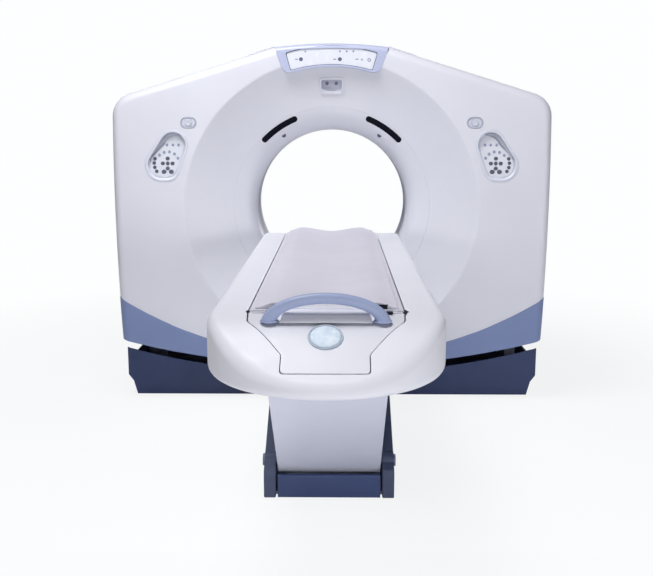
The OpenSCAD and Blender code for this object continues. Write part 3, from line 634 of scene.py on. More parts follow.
edge_turns = [pi / 2 * k / 8 for k in range(9)]
bezel_low_r = iso_z - 0.336
bezel_half = 0.296           # at its top
bezel_a = atan(bezel_half / (top_z - iso_z))
bezel_side_r = 0.8           # mean radius of the bezel's sides
bezel_corner = 48 * MM
bezel_proud = 1              # millimetres before the face
skin_soft = (1.5 * MM, 2, 50)


def outline(e, low):
    """The covers' outline moved inwards by e, from the left foot over the crown to the right foot.
    Every e gives the same number of points."""
    w = half_w - e
    r = corner_r - e
    left = [(-w, z) for z in spread(low, corner_z, 44)][:-1]
    arc = [polar(r, a, (-corner_x, corner_z)) for a in spread(pi, pi / 2 + shoulder_a, 16)]
    rc = crown_r - e
    cz = top_z - crown_r
    d = shoulder_d - e - cos(shoulder_a) * cz
    kink_x = sin(shoulder_a) * d - cos(shoulder_a) * sqrt(rc * rc - d * d)
    kink = Vector((-kink_x, cz + sqrt(rc * rc - kink_x * kink_x)))
    start = Vector(arc[-1])
    line = [tuple(start.lerp(kink, t)) for t in spread(0, 1, 44)][1:-1]
    turn = asin(kink_x / rc)
    crown = [(rc * sin(a), cz + rc * cos(a)) for a in spread(-turn, 0, 20)]
    half = left + arc + line + crown
    return half + [(-x, z) for x, z in half[-2::-1]]


def clipped(line, x0, x1):
    """The part of an open line from x0 to x1, with exact ends."""
    out = []
    for p, q in zip(line, line[1:]):
        for x in (x0, x1):
            if min(p[0], q[0]) < x < max(p[0], q[0]):
                t = (x - p[0]) / (q[0] - p[0])
                out.append((x, p[1] + (q[1] - p[1]) * t))
        if x0 <= q[0] <= x1:
            out.append(q)
    if x0 <= line[0][0] <= x1:
        out.insert(0, line[0])
    return out


def from_upright(p):
    """Angle of a point about the bore, from the upright to the right."""
    return atan2(p[0], p[1] - iso_z)


def about_bore(r, a):
    """The point at radius r and at the angle a from the upright to the right."""
    return polar(r, pi / 2 - a, (0, iso_z))


def crossing(column, limit):
    """Where the ray at that angle from the bore's upright meets the right half of an outline."""
    for p, q in zip(column, column[1:]):
        start = from_upright(p)
        end = from_upright(q)
        if p[0] >= 0 and start <= limit <= end:
            t = (limit - start) / (end - start)
            return (p[0] + (q[0] - p[0]) * t, p[1] + (q[1] - p[1]) * t)


def bezel_edge(e):
    """Lower edge of the display's bezel from its left side to its right, moved inwards by e.
    It is an arc about the bore with two soft corners."""
    r = bezel_low_r + e
    a = bezel_a - e / bezel_side_r
    inner = a - bezel_corner / r * 1.15

    def bend(p, corner, q):
        p, corner, q = Vector(p), Vector(corner), Vector(q)
        return [tuple(p * (1 - t) ** 2 + corner * (2 * t * (1 - t)) + q * t * t) for t in spread(0, 1, 8)]

    left = bend(about_bore(r + bezel_corner, -a), about_bore(r, -a), about_bore(r, -inner))
    arc = [about_bore(r, t) for t in spread(-inner, inner, 40)][1:-1]
    return left + arc + [(-x, z) for x, z in left[::-1]]


def flare_y(r, z):
    """Depth of the flare at radius r, where z is the height of the point."""
    rim_z = iso_z + flare_r * (z - iso_z) / max(r, 0.1)
    t = (flare_r - r) / (flare_r - join_r)
    bow = flare_bow * sin(pi * min(max(t, 0), 1))
    return face_y(rim_z) + (join_y - face_y(rim_z)) * t + bow


def front_lift(x, z):
    r = hypot(x, z - iso_z)
    y = face_y(z)
    if r < flare_r + rim_reach:
        y = smooth_max(y, flare_y(r, z), rim_soft)
    return (x, y, z)


flare_bow = 6 * MM
rim_soft = 4 * MM
rim_reach = 80 * MM          # beyond this the flare no longer shapes the face
pad_lobes = [(-0.025, -0.045, 0.084), (0.005, -0.062, 0.066), (0.035, 0.057, 0.078)]
pad_at = (-(half_w - 0.278), iso_z + 0.265)
call_at = (-(half_w - 0.394), iso_z + 0.434)
call_r = 17 * MM


def mirrored(loop, side):
    return loop if side < 0 else [(-x, z) for x, z in loop[::-1]]


def pad_loop(e, side=-1):
    """Outline of a control pad moved inwards by e, for the left or the right side."""
    return mirrored(band_loop([(pad_at[0] + x, pad_at[1] + z, r - e) for x, z, r in pad_lobes]), side)


def call_loop(e, side=-1):
    """Outline of a call button's oval moved inwards by e."""
    ends = [(call_at[0] + dx, call_at[1], call_r + 0.012 - e) for dx in (-0.0125, 0.0125)]
    return mirrored(band_loop(ends, 16), side)


def drawn_back(points, y, t):
    """The points moved by the share t of their way to the depth y."""
    return [(p[0], p[1] + (y - p[1]) * t, p[2]) for p in points]


def face_cover(holes, extra, lift, base, turn, split, notch=None):
    """A bowed cover: its face, a soft outer edge and a wall that runs back to split.
    notch is the edge of an opening in the crown."""
    s = Surface()
    inner = outline(edge_r, white_edge(half_w - edge_r))
    low = [(x, white_edge(x)) for x in spread(edge_r - half_w, half_w - edge_r, 150)][1:-1]
    order = list(range(len(inner)))[::-1]
    if notch:
        limit = from_upright(notch[-1])
        apart = 0.003
        right = [k for k in order if from_upright(inner[k]) > limit + apart]
        left = [k for k in order if from_upright(inner[k]) < -limit - apart]
        tip = crossing(inner, limit)
        across = [tip] + notch[::-1] + [(-tip[0], tip[1])]
        loop = low + [inner[k] for k in right] + across + [inner[k] for k in left]
    else:
        right, left, limit = order, [], 0
        loop = low + [inner[k] for k in right]
    rows = fill(s, loop, holes, 0.02, lift, extra, flip=turn < 0)
    outer = rows[0]

    def edge_row(a, chain, tip_side):
        """A row of the outer edge, where a turns from the face to the wall. tip_side adds the notch's end."""
        e = edge_r * (1 - sin(a))
        column = outline(e, white_edge(half_w - e))
        pts = [column[k] for k in chain]
        if tip_side:
            x, z = crossing(column, limit)
            pts = pts + [(x, z)] if tip_side > 0 else [(-x, z)] + pts
        return [(x, base(z) + turn * edge_r * (1 - cos(a)), z) for x, z in pts]

    def sweep(ids, chain, tip_side):
        last = s.onward(ids, [edge_row(a, chain, tip_side) for a in edge_turns[1:]], flip=turn > 0)
        s.onward(last, [drawn_back(s.at(last), split, t) for t in (0.3, 0.65, 1.0)], flip=turn > 0)

    m = len(low)
    if notch:
        sweep(outer[m:m + len(right) + 1], right, 1)
        sweep(outer[m + len(right) + 1 + len(notch):], left, -1)
    else:
        sweep(outer[m:], right, 0)
    return s, rows[1:]


def front_cover():
    """The front cover and its flare as one skin, with points close together where the flare's rim turns."""
    gap = 0.3 * MM
    rings = []
    for past_join in (10, 25, 45, 65, 87, 110, 135, 160, 185):
        r = join_r + past_join * MM
        rings += circle_loop(r, int(2 * pi * r / 0.02), (0, iso_z))
    for past_rim in (-40, -29, -21, -15, -10, -6, -3, 0, 3, 6, 10, 15, 22, 31, 45):
        rings += circle_loop(flare_r + past_rim * MM, 260, (0, iso_z))
    openings = [loop(-gap, side) for loop in (pad_loop, call_loop) for side in (-1, 1)]
    openings.append(circle_loop(join_r + seam / 2, 180, (0, iso_z)))
    s, _ = face_cover(openings, rings, front_lift, face_y, 1, front_split, bezel_edge(-seam))
    piece = s.piece("front_cover", white, skin_t, (1.2 * MM, 2, 50))
    settle(piece, "gantry", "cover_white", "gantry_front_cover", "front_flare")


def rear_cover():
    """The rear cover, with a collar round the rear flare."""
    hole = circle_loop(rear_hole_r, 160, (0, iso_z))
    rings = [p for wider in (0.012, 0.03) for p in circle_loop(rear_hole_r + wider, 200, (0, iso_z))]
    s, hole_rows = face_cover([hole], rings, lambda x, z: (x, rear_y(z), z), rear_y, -1, rear_split)
    rim = hole_rows[0]
    collar = [drawn_back(s.at(rim), rear_rim_y, t) for t in spread(0, 1, 4)[1:]]
    s.onward(rim, collar, closed=True, flip=True)
    settle(s.piece("rear_cover", white, skin_t, skin_soft), "gantry", "cover_white", "gantry_rear_cover")


def wall_cover(name, x0, x1, replaced):
    """The middle covers between the two splits, cut from x0 to x1."""
    s = Surface()
    line = clipped(outline(0, white_edge(half_w)), x0, x1)
    s.rows([[(x, y, z) for x, z in line] for y in spread(front_split + seam, rear_split - seam, 6)])
    settle(s.piece(name, white, skin_t, skin_soft), "gantry", "cover_white", replaced)


front_cover()
rear_cover()
wall_cover("side_cover_left", -2 * half_w, -top_half, "gantry_side_covers")
wall_cover("side_cover_right", top_half, 2 * half_w, "gantry_side_covers")
wall_cover("top_cover", seam - top_half, top_half - seam, "gantry_top_cover")

band_back = 2.5 * MM


def lower_bands():
    """Blue bands below the white covers, set back a little behind them."""
    s = Surface()
    w = half_w - band_back
    spans = spread(0, 1, 6)

    def heights(x):
        return [low_edge(x) + (white_edge(x) - seam - low_edge(x)) * t for t in spans]

    for base, turn, split in ((face_y, 1, front_split), (rear_y, -1, rear_split)):
        columns = [[(x, base(z) + turn * band_back, z) for z in heights(x)]
                   for x in spread(edge_r - w, w - edge_r, 120)]
        ends = []
        for a in edge_turns[1:]:
            x = w - edge_r + edge_r * sin(a)
            dy = turn * (band_back + edge_r * (1 - cos(a)))
            ends.append([(x, base(z) + dy, z) for z in heights(x)])
        ends += [drawn_back(ends[-1], split, t) for t in (0.5, 1.0)]
        mirror = [[(-x, y, z) for x, y, z in column] for column in ends[::-1]]
        s.rows(mirror + columns + ends, flip=turn < 0)
    middle = spread(front_split + seam, rear_split - seam, 6)
    for side in (-1, 1):
        s.rows([[(side * w, y, z) for z in heights(w)] for y in middle], flip=side < 0)
    settle(s.piece("lower_bands_skin", blue, skin_t, skin_soft), "gantry", "band_blue", "lower_bands")


lower_bands()

# ---- Bore ----

throat_end = y_front + 0.245
throat_bend_r = 0.45
throat_steps = spread(0, 1, 26)
liner_t = 4 * MM
liner_gap = 0.3 * MM


def throat_path(a):
    """Radii and depths of the throat at the angle a, from the flare into the bore, without a crease."""
    rim_z = iso_z + flare_r * sin(a)
    slope = (join_y - face_y(rim_z) - pi * flare_bow) / (flare_r - join_r)
    controls = [(join_r - liner_gap, join_y), (throat_bend_r, join_y + slope * (join_r - throat_bend_r)),
                (bore_r + 6 * MM, y_front + 0.165), (bore_r, throat_end)]
    out = []
    for t in throat_steps:
        w = ((1 - t) ** 3, 3 * t * (1 - t) ** 2, 3 * t * t * (1 - t), t ** 3)
        out.append(tuple(sum(k * c[i] for k, c in zip(w, controls)) for i in (0, 1)))
    return out + [(bore_r, scan_front - liner_gap)]


def throat_depth(r, a):
    path = throat_path(a)
    for p, q in zip(path, path[1:]):
        if q[0] <= r <= p[0]:
            return p[1] + (q[1] - p[1]) * (p[0] - r) / max(p[0] - q[0], 1e-9)
    return path[-1][1]


def with_back(path, t):
    """A closed drawing from an open path and its copy moved away by t to the right of its run."""
    back = []
    for k, p in enumerate(path):
        a = Vector(path[max(k - 1, 0)])
        b = Vector(path[min(k + 1, len(path) - 1)])
        d = (b - a).normalized()
        back.append((p[0] + d.y * t, p[1] - d.x * t))
    return list(path) + back[::-1]


def throat():
    """The front liner, from the flare's end into the bore."""
    s = Surface()
    ribs = []
    for turn in circle_loop(1, 200):
        a = atan2(turn[1], turn[0])
        ribs.append([(r * turn[0], y, iso_z + r * turn[1]) for r, y in with_back(throat_path(a), liner_t)])
    s.rows(ribs, closed=True, ring=True)
    settle(s.piece("bore_throat", white, soft=liner_soft), "gantry", "flare_white", "front_bore_liner")


def rear_flare():
    """A quarter of an oval in section, from the bore out to the rear cover's collar."""
    wide = rear_hole_r - 6.5 * MM - bore_r
    path = [(bore_r, scan_rear + liner_gap)]
    for u in spread(0, pi / 2, 14):
        path.append((bore_r + wide * (1 - cos(u)), rear_throat_y + (rear_rim_y - rear_throat_y) * sin(u)))
    path.append((rear_hole_r - liner_gap, rear_rim_y))
    piece = revolved("rear_flare", with_back(path, liner_t), white)
    soften(piece, *liner_soft)
    settle(piece, "gantry", "flare_white", "rear_bore_liner")


liner_soft = (0.6 * MM, 2, 60)
throat()
rear_flare()

window_at = 33.95            # angles to either side of the bore's upright, in degrees
window_reach = 12.75
sensor_at = 34
sensor_r = 0.447


def laser_windows():
    """Two curved dark windows with round ends, and a small round sensor below each."""
    s = Surface()
    middle = join_r - 23 * MM
    half = 15 * MM
    arc = [polar(half, radians(t)) for t in spread(-90, 90, 14)]
    run = radians(2 * window_reach) * middle - 2 * half
    low = [(run * t, -half) for t in spread(0, 1, 24)][1:-1]
    ends = [(-u, -v) for u, v in arc], [(run + u, v) for u, v in arc]
    shape = ends[0] + low + ends[1] + [(u, half) for u, _ in low[::-1]]
    for side in (-1, 1):
        first = radians(90 + side * window_at - window_reach) + half / middle

        def placed(u, v, h):
            r = middle + v
            a = first + u / middle
            return (r * cos(a), throat_depth(r, a) + h * MM, iso_z + r * sin(a))

        rows = [[placed(u, v, h) for u, v in shape] for h in (2.0, -0.5)]
        rows.append([placed(run / 2 + (u - run / 2) * 0.993, v * 0.93, -0.9) for u, v in shape])
        front = s.rows(rows, closed=True)[-1]
        n = len(arc)
        second_end = n + len(low)
        upper = front[:1] + front[:-len(low) - 1:-1] + [front[second_end + n - 1]]
        s.join(front[n - 1:second_end + 1], upper)
        s.cap(front[:n])
        s.cap(front[second_end:second_end + n])
    settle(s.piece("laser_windows_glass", dark_glass), "gantry", "dark_window", "laser_windows")
    s = Surface()
    for side in (-1, 1):
        a = radians(90 - side * sensor_at)
        centre = polar(sensor_r, a, (0, iso_z))
        y = throat_depth(sensor_r, a)
        rows = s.rows([[(x, y + h * MM, z) for x, z in circle_loop(r * MM, 16, centre)]
                       for r, h in ((12, 2), (12, -0.8), (10, -1.6), (5, -2.0))], closed=True)
        s.cap(rows[-1])
    settle(s.piece("throat_sensors", key_paint), "gantry", "dark_window")


laser_windows()

# ---- Display ----

panel_low = bezel_low_r + 12 * MM
panel_high = panel_low + 88 * MM
panel_a = bezel_a - radians(3.2)
panel_side_r = 0.76          # mean radius of the panel's sides
panel_sink = 4 * MM


def panel_loop(e):
    """Outline of the display's panel moved inwards by e: two arcs about the bore."""
    a = panel_a - e / panel_side_r
    low = [about_bore(panel_low + e, t) for t in spread(-a, a, 30)]
    high = [about_bore(panel_high - e, t) for t in spread(a, -a, 30)]
    path = low + high
    n = len(low)
    corners = {0, n - 1, n, len(path) - 1}
    keep = [p for k, p in enumerate(path) if k in corners or min(abs(k - c) for c in corners) > 1]
    radii = [0.009 if p in [path[c] for c in corners] else 0 for p in keep]
    return rounded(keep, radii, 6)


def panel_surface(x, z):
    return (x, face_y(z) + panel_sink, z)


def display():
    """The bezel at the crown, the panel in its opening and a dark liner in the groove between them as painted
    shade.
    """
    s = Surface()
    e0 = 24 * MM
    edge = bezel_edge(0)
    limit = from_upright(edge[-1])

    def chain(e):
        column = outline(e, white_edge(half_w))
        tip = crossing(column, limit)
        xs = spread(tip[0], -tip[0], 40)
        line = clipped(column, -tip[0], tip[0])
        return [(x, float(np.interp(x, [p[0] for p in line], [p[1] for p in line]))) for x in xs]

    loop = edge + chain(e0)
    rows = fill(s, loop, [panel_loop(-3 * MM)], 0.018, lambda x, z: on_face([(x, z)], -bezel_proud)[0])
    turned = [on_face(chain(e0 * (1 - sin(a))), e0 / MM * (1 - cos(a)) - bezel_proud) for a in edge_turns[1:]]
    last = s.onward(rows[0][len(edge):], turned, flip=True)
    s.onward(last, [drawn_back(s.at(last), front_split - 1 * MM, 1)], flip=True)
    piece = s.piece("display_bezel_moulding", lavender, 11 * MM, (2.5 * MM, 3, 50))
    settle(piece, "gantry", "lavender", "display_bezel")

    s = Surface()
    fill(s, panel_loop(0), [], 0.02, panel_surface)
    piece = s.piece("display_face", screen_paint, 4 * MM, (1.0 * MM, 2, 50))
    settle(piece, "gantry", "panel_pale", "display_panel")
    s = Surface()
    # painted shade: a dark liner in the groove round the panel
    groove_shade_rows = [(-3.4, 6), (-3.4, 0.8), (-2.6, 0.4), (-0.6, 0.8), (-0.1, 6)]
    s.rows([on_face(panel_loop(e * MM), y) for e, y in groove_shade_rows], closed=True)
    settle(s.piece("display_seal", ink_and_groove_shade), "gantry", "rubber")


display()


def discs(name, spots, material, slot, lift, body="gantry", n=20, proud=0.5 * MM, hollow=0.0):
    """Small marks [x, z, half width, half height] that lie on a surface. hollow leaves a ring."""
    s = Surface()
    back = -1.5 * MM
    levels = [(1.0, back), (1.0, proud * 0.6), (0.86, proud)]
    if hollow:
        levels += [(hollow + 0.08, proud), (hollow, back)]
    for x, z, a, b in spots:
        def level(k, h):
            places = [(x + a * k * u, z + b * k * v) for u, v in circle_loop(1, n)]
            return [(u, lift(u, v)[1] - h, v) for u, v in places]

        if hollow:
            s.rows([level(*v) for v in levels], closed=True, ring=True)
        else:
            s.shell([level(*v) for v in levels], flip=True)
    settle(s.piece(name, material), body, slot)


row_z = top_z - 0.041
lamp_z = top_z - 0.08
lamps = [(x, lamp_z, 0.01, 0.01) for x in (-0.155, 0.042)]
discs("display_lamps_dark", lamps, ink_and_groove_shade, "dark_window", panel_surface)
small = [(x, row_z, 0.0052, 0.0055) for x in (-0.133, 0.042, 0.076, 0.11)]
small += [(x, lamp_z, 0.0085, 0.0034) for x in (-0.178, 0.016, 0.128)]
small += [(0.153, lamp_z - 0.002, 0.005, 0.005)]
discs("display_marks_soft", small, ink_soft, "dark_window", panel_surface, n=12)
ring_mark = [(0.19, lamp_z - 0.004, 0.0085, 0.0085)]
discs("display_ring_mark", ring_mark, ink_and_groove_shade, "dark_window", panel_surface, hollow=0.55)

# ---- Intercom ----

intercom_z = iso_z + 0.618
intercom_tilt = Matrix.Rotation(radians(13.7), 4, "X")
intercom_place = Matrix.Translation((0, y_front + 0.103, intercom_z)) @ intercom_tilt


def moved(place, points):
    return [tuple(place @ Vector(p)) for p in points]


def intercom():
    """A rounded frame with a sunk floor and two domes."""
    def placed(loop, y):
        return moved(intercom_place, [(x, y * MM, z) for x, z in loop])

    def level(w, h, r, y):
        return placed(rounded(box_loop(-w * MM, w * MM, -h * MM, h * MM), r * MM), y)

    s = Surface()
    levels = [(62, 42, 15, 12), (62, 42, 15, -0.5), (61, 41, 14, -1.8), (59, 39, 13, -2.4),
              (55, 35, 11, -2.4), (53, 33, 10, -1.6), (52, 32, 9, 1.5), (51, 31, 9, 6.0), (50, 30, 8, 6.4)]
    s.rows([level(*v) for v in levels], closed=True, flip=True, ring=True)
    settle(s.piece("intercom_moulding", white, soft=(0.5 * MM, 2, 40)), "gantry", "flare_white", "intercom")
    s = Surface()
    s.shell([level(51.5, 31.5, 9, y) for y in (5, 9)])
    settle(s.piece("intercom_pocket", pocket_paint), "gantry", "flare_white")
    s = Surface()
    dome = [(9, 5.2), (9, 1.0), (7.6, -0.2), (5.8, -0.4), (5.2, 1.0), (0.01, 0.4)]
    for side in (-1, 1):
        for pair in zip(dome, dome[1:]):
            s.rows([placed(circle_loop(r * MM, 20, (side * 0.024, 0.014)), y) for r, y in pair], closed=True)
    settle(s.piece("intercom_domes", pin_paint), "gantry", "dark_window")


intercom()

# ---- Control pads and call buttons ----

pad_low = pad_at[1] - 0.127
pad_high = pad_at[1] + 0.13


def pad_depth(z):
    """The pad's floor leans back: shallow at its foot and deep at its head."""
    t = min(max((z - pad_low) / (pad_high - pad_low), 0), 1)
    return (6 + 16 * t) * MM


def sunk(loop, y, share=0.0):
    """A drawing laid y millimetres behind the face, and by a share of the pad's depth."""
    return [(x, face_y(z) + pad_depth(z) * share + y * MM, z) for x, z in loop]


def pad_surface(x, z):
    return sunk([(x, z)], 0, 1)[0]


def controls():
    """Rims and floors of both pads, and the ovals, wells and caps of both call buttons."""
    rim_rows = [(0, 3), (0, 0.4), (0.8, -1.0), (2.4, -1.8), (9, -2.2), (12.5, -1.9), (14.2, -0.6), (15, 2.0)]
    floor_rows = [(17.5, 0.92, 0), (19.5, 1, 0), (19.5, 1, 3)]
    call_rows = [(0, 3), (0, -0.6), (0.7, -1.6), (2.2, -2.1), (4.6, -2.1), (6.0, -1.5), (6.8, 0.6)]
    rims, films, ovals, wells = (Surface() for _ in range(4))

    for side in (-1, 1):
        rows = [sunk(pad_loop(e * MM, side), y) for e, y in rim_rows]
        rows += [sunk(pad_loop(e * MM, side), y, share) for e, share, y in floor_rows]
        rims.rows(rows, closed=True)
        fill(films, pad_loop(19.2 * MM, side), [], 0.012, lambda x, z: sunk([(x, z)], 0.2, 1)[0])
        ovals.rows([sunk(call_loop(e * MM, side), y) for e, y in call_rows], closed=True)
        hole = circle_loop(call_r + 0.6 * MM, 48, (side * -call_at[0], call_at[1]))
        fill(wells, call_loop(6.6 * MM, side), [hole], 0.006, lambda x, z: sunk([(x, z)], 0.5)[0])
    settle(rims.piece("control_rims", rim_paint), "gantry", "lavender", "control_bezels")
    settle(films.piece("control_films", film, 2 * MM), "gantry", "panel_pale", "control_membranes")
    settle(ovals.piece("call_ovals", grey_and_painted_shade), "gantry", "lavender")
    settle(wells.piece("call_wells", rim_paint, 2 * MM), "gantry", "lavender")
    cap_in = [(0, 8), (0, -3.4), (1.2, -5.0), (3.0, -5.6), (6.0, -5.0), (10, -4.2)]
    for side, name in ((-1, "left"), (1, "right")):
        centre = (side * -call_at[0], call_at[1])
        y = face_y(centre[1])
        profile = [(0.01 * MM, 8), *((call_r - e * MM, h) for e, h in cap_in), (0.01 * MM, -3.8)]
        cap = revolved("call_cap_" + name, [(r, y + h * MM) for r, h in profile], rim_paint, 48, centre)
        settle(cap, "call_" + name, "panel_pale", "call_button_" + name)


controls()

hub = (pad_at[0] + 6 * MM, pad_at[1] - 35 * MM)


def key_spots():
    """Dark and soft keys [x, z, half width, half height] of the left pad, from arcs about its cursor keys."""
    key = 7.4 * MM

    def along(r, angles, a, b):
        return [(*polar(r * MM, radians(t), hub), a, b) for t in angles]

    dark = along(25, (0, 90, 180, 270), 10.6 * MM, 9.6 * MM)
    dark += [(*hub, 9 * MM, 10 * MM)]
    dark += [(hub[0] + d * MM, hub[1] - 42 * MM, 12.5 * MM, 11 * MM) for d in (-19, 18)]
    dark += along(69, spread(160, 215, 3), 9 * MM, 9 * MM)
    soft = along(59, spread(27, 135, 4), key, key * 1.1)
    soft += [(hub[0] + d * MM, hub[1] + 93 * MM, key * 0.9, key) for d in (-3, 27, 56)]
    return dark, soft


def painted_shade_crescents():
    """Painted shade: a grey sheet along the upper outer side of each pad's floor, where the rim's shadow
    falls.
    """
    first, last = 62, 188     # degrees about the middle of the pad
    middle = (pad_at[0] + 5 * MM, pad_at[1] - 5 * MM)
    outer = []
    for x, z in pad_loop(17 * MM):
        a = degrees(atan2(z - middle[1], x - middle[0])) % 360
        if first < a < last:
            outer.append((a, x, z))
    outer.sort()
    inner = []
    for a, x, z in outer:
        t = (a - first) / (last - first)
        reach = 31 * MM * sin(pi * min(t * 1.1, 1)) ** 0.6 + 0.5 * MM
        d = (Vector(middle) - Vector((x, z))).normalized()
        inner.append((x + d.x * reach, z + d.y * reach))
    s = Surface()
    for side in (-1, 1):
        s.rows([sunk([(-side * x, z) for _, x, z in outer], 0, 0.3),
                sunk([(-side * x, z) for x, z in inner], 0.1, 1)], flip=side > 0)
    # painted shade: grey sheets stand for the rim's shadow on each pad's floor
    settle(s.piece("control_hoods", grey_and_painted_shade, 1.5 * MM, offset=1.0), "gantry", "lavender")


painted_shade_crescents()
key_looks = (("control_keys_dark", key_paint), ("control_keys_soft", ink_soft))
for (name, paint), spots in zip(key_looks, key_spots()):
    both = spots + [(-x, z, a, b) for x, z, a, b in spots]
    discs(name, both, paint, "dark_window", pad_surface, proud=2 * MM)

# ---- Table: deck, pan and end plate ----

deck_y0 = deck_box[1].y
deck_y1 = deck_box[0].y
deck_top = deck_box[1].z
deck_low = deck_box[0].z
deck_half = deck_box[1].x
nose_len = 0.395
nose_n = 2.2                 # 2 would be an ellipse
nose_from = 0.25             # share of the way round the plan's edge where the nose begins
slope_y = deck_y1 + 0.215
slope_a = radians(30)
slope_k = tan(slope_a)
panel_y1 = deck_y1 + 0.045
cradle_y1 = cradle_box[0].y
cradle_half = cradle_box[1].x
cradle_low = cradle_box[0].z
tongue_half = 0.118
slot_gap = 3.4 * MM
cradle_shelf = 22 * MM       # low strip along each side of the cradle's pad
top_r = 32 * MM
under_r = 20 * MM


def deck_z(y):
    """Height of the deck's top: level, then falling towards the foot end."""
    return smooth_min(deck_top, deck_top - (slope_y - y) * slope_k, 40 * MM)


def bow(t):
    return copysign(abs(t) ** (2 / nose_n), t)


def deck_edge(u, e):
    """A point of the deck's plan moved inwards by e. u runs from the gantry's left end round the nose."""
    a = deck_half - e
    b = nose_len - e
    y = deck_y1 + nose_len
    if nose_from <= u <= 1 - nose_from:
        t = pi * (1 + (u - nose_from) * 2)
        return (a * bow(cos(t)), y + b * bow(sin(t)))
    side = -1 if u < 0.5 else 1
    t = (u if u < 0.5 else 1 - u) / nose_from
    return (side * a, deck_y0 + (y - deck_y0) * t)


def deck_steps(along, round_nose):
    """Places along the deck's edge, with so many steps on each side and round the nose."""
    return (spread(0, nose_from, along)[:-1] + spread(nose_from, 1 - nose_from, round_nose)
            + spread(1 - nose_from, 1, along)[1:])


def deck_radii(u):
    """Radii of the deck's upper and lower edge, which shrink where the nose is thin."""
    high = deck_z(deck_edge(u, 0)[1]) - deck_low
    return min(top_r, high * 0.45), min(under_r, high * 0.36)


def panel_plan(e):
    """Plan of the foot panel's seam, moved outwards by e, from its left end at the cradle to its right."""
    w = cradle_half + e
    t = tongue_half + e * 0.6
    y = cradle_y1
    half = rounded([(-w, y), (9 * MM - w, y - 0.115), (-t, y - 0.25), (-t, panel_y1 - e), (0, panel_y1 - e)],
                   [0, 0.05, 0.016, 0.012, 0], 6, closed=False)
    return half + [(-x, v) for x, v in half[-2::-1]]


def deck_skin():
    """The deck's cover, open over the cradle and the foot panel."""
    s = Surface()
    steps = deck_steps(44, 96)
    rim = [deck_edge(u, deck_radii(u)[0]) for u in steps]
    channel_x = -cradle_half - slot_gap
    channel = resampled([(channel_x, deck_y0), (channel_x, cradle_y1)], 0.03, closed=False)
    inner = channel[:-1] + panel_plan(slot_gap) + [(-x, y) for x, y in channel[-2::-1]]
    inner = resampled(inner, 0.01, closed=False)
    rows = fill(s, rim + inner[::-1], [], 0.03, lambda x, y: (x, y, deck_z(y)))

    def edge_point(a, u, under):
        """A point of the upper or lower rounded edge, where a turns from its top towards its foot."""
        r = deck_radii(u)[under]
        x, y = deck_edge(u, r * (1 - (cos(a) if under else sin(a))))
        return (x, y, deck_low + r * (1 - sin(a)) if under else deck_z(y) - r * (1 - cos(a)))

    upper = [[edge_point(a, u, 0) for u in steps] for a in edge_turns[1:]]
    last = s.onward(rows[0][:len(rim)], upper, flip=True)
    top = s.at(last)
    low = [deck_low + deck_radii(u)[1] for u in steps]
    last = s.onward(last, [[(x, y, z + (foot - z) * t) for (x, y, z), foot in zip(top, low)]
                           for t in (0.35, 0.7, 1.0)], flip=True)
    s.onward(last, [[edge_point(a, u, 1) for u in steps] for a in edge_turns[2::2]], flip=True)
    piece = s.piece("deck_moulding", deck_paint, 5 * MM, (1.2 * MM, 2, 50))
    settle(piece, "table_top", "cover_white", "deck_cover")


deck_skin()

lug_y = [joints["table_level"]["pos_m"][1] + d for d in (0, 0.62)]


def deck_bottom():
    """The pan under the deck, with slots for the legs' lugs, and the plate at the deck's gantry end."""
    s = Surface()
    steps = deck_steps(20, 72)
    rim = [deck_edge(u, deck_radii(u)[1] + 1.5 * MM) for u in steps]
    lug_x = (0.128, 0.168)
    lug_reach = 0.045
    slots = [rounded(box_loop(*sorted(side * x for x in lug_x), y - lug_reach, y + lug_reach), 8 * MM, 4)
             for y in lug_y for side in (-1, 1)]
    fill(s, rim, slots, 0.06, lambda x, y: (x, y, deck_low + 1 * MM), flip=True)
    settle(s.piece("deck_pan_plate", pan_paint, 4 * MM, (1 * MM, 2, 50)), "table_top", "lilac", "deck_pan")
    inset = 6 * MM
    wide = deck_half - inset
    narrow = cradle_half + 2 * inset
    high = deck_top - inset
    right = [(wide, deck_low + 8 * MM), (wide, high), (narrow, high), (narrow, cradle_low - inset)]
    corners = [0.018, 0.028, 0.004, 0.012]
    end = rounded([(-wide, right[0][1])] + right + [(-x, z) for x, z in right[:0:-1]],
                  corners[:1] + corners + corners[:0:-1], 5)
    piece = prism("deck_end_plate", end, on_y, deck_y0 - 9 * MM, deck_y0 - 5 * MM, pan_paint, 1.2 * MM)
    settle(piece, "table_top", "lilac")


deck_bottom()

# ---- Cradle ----


def cradle_z(x):
    """Height of the cradle's top at x: a dip between two humps."""
    bend_x = cradle_half * 0.66
    middle, hump, fall = 11, 18, 14        # millimetres
    t = min(abs(x) / bend_x, 1)
    s = min(max(abs(x) - bend_x, 0) / (cradle_half - cradle_shelf - bend_x), 1)
    return deck_top + (middle + hump * (1 - cos(pi * t)) / 2 - fall * (1 - cos(pi * s)) / 2) * MM


def cradle_section(e):
    """Cross section of the cradle moved inwards by e: a dished top, soft edges and a flat underside."""
    flat = cradle_half - cradle_shelf
    top = [(x, cradle_z(x)) for x in spread(flat, -flat, 40)]
    right = [(x + dx * MM, z + dz * MM) for x, z, dx, dz in (
        (flat, cradle_z(flat), 2.5, -1.6), (flat, cradle_z(flat), 4.5, -5), (flat, deck_top, 6.5, 5),
        (cradle_half, deck_top, -4, 2.5), (cradle_half, deck_top, -0.5, 0.5),
        (cradle_half, cradle_low, -0.5, 12), (cradle_half, cradle_low, -4, 4),
        (cradle_half, cradle_low, -14, 0.5))]
    loop = [(-x, z) for x, z in right] + right[::-1] + top
    return shifted(loop, e) if e else loop


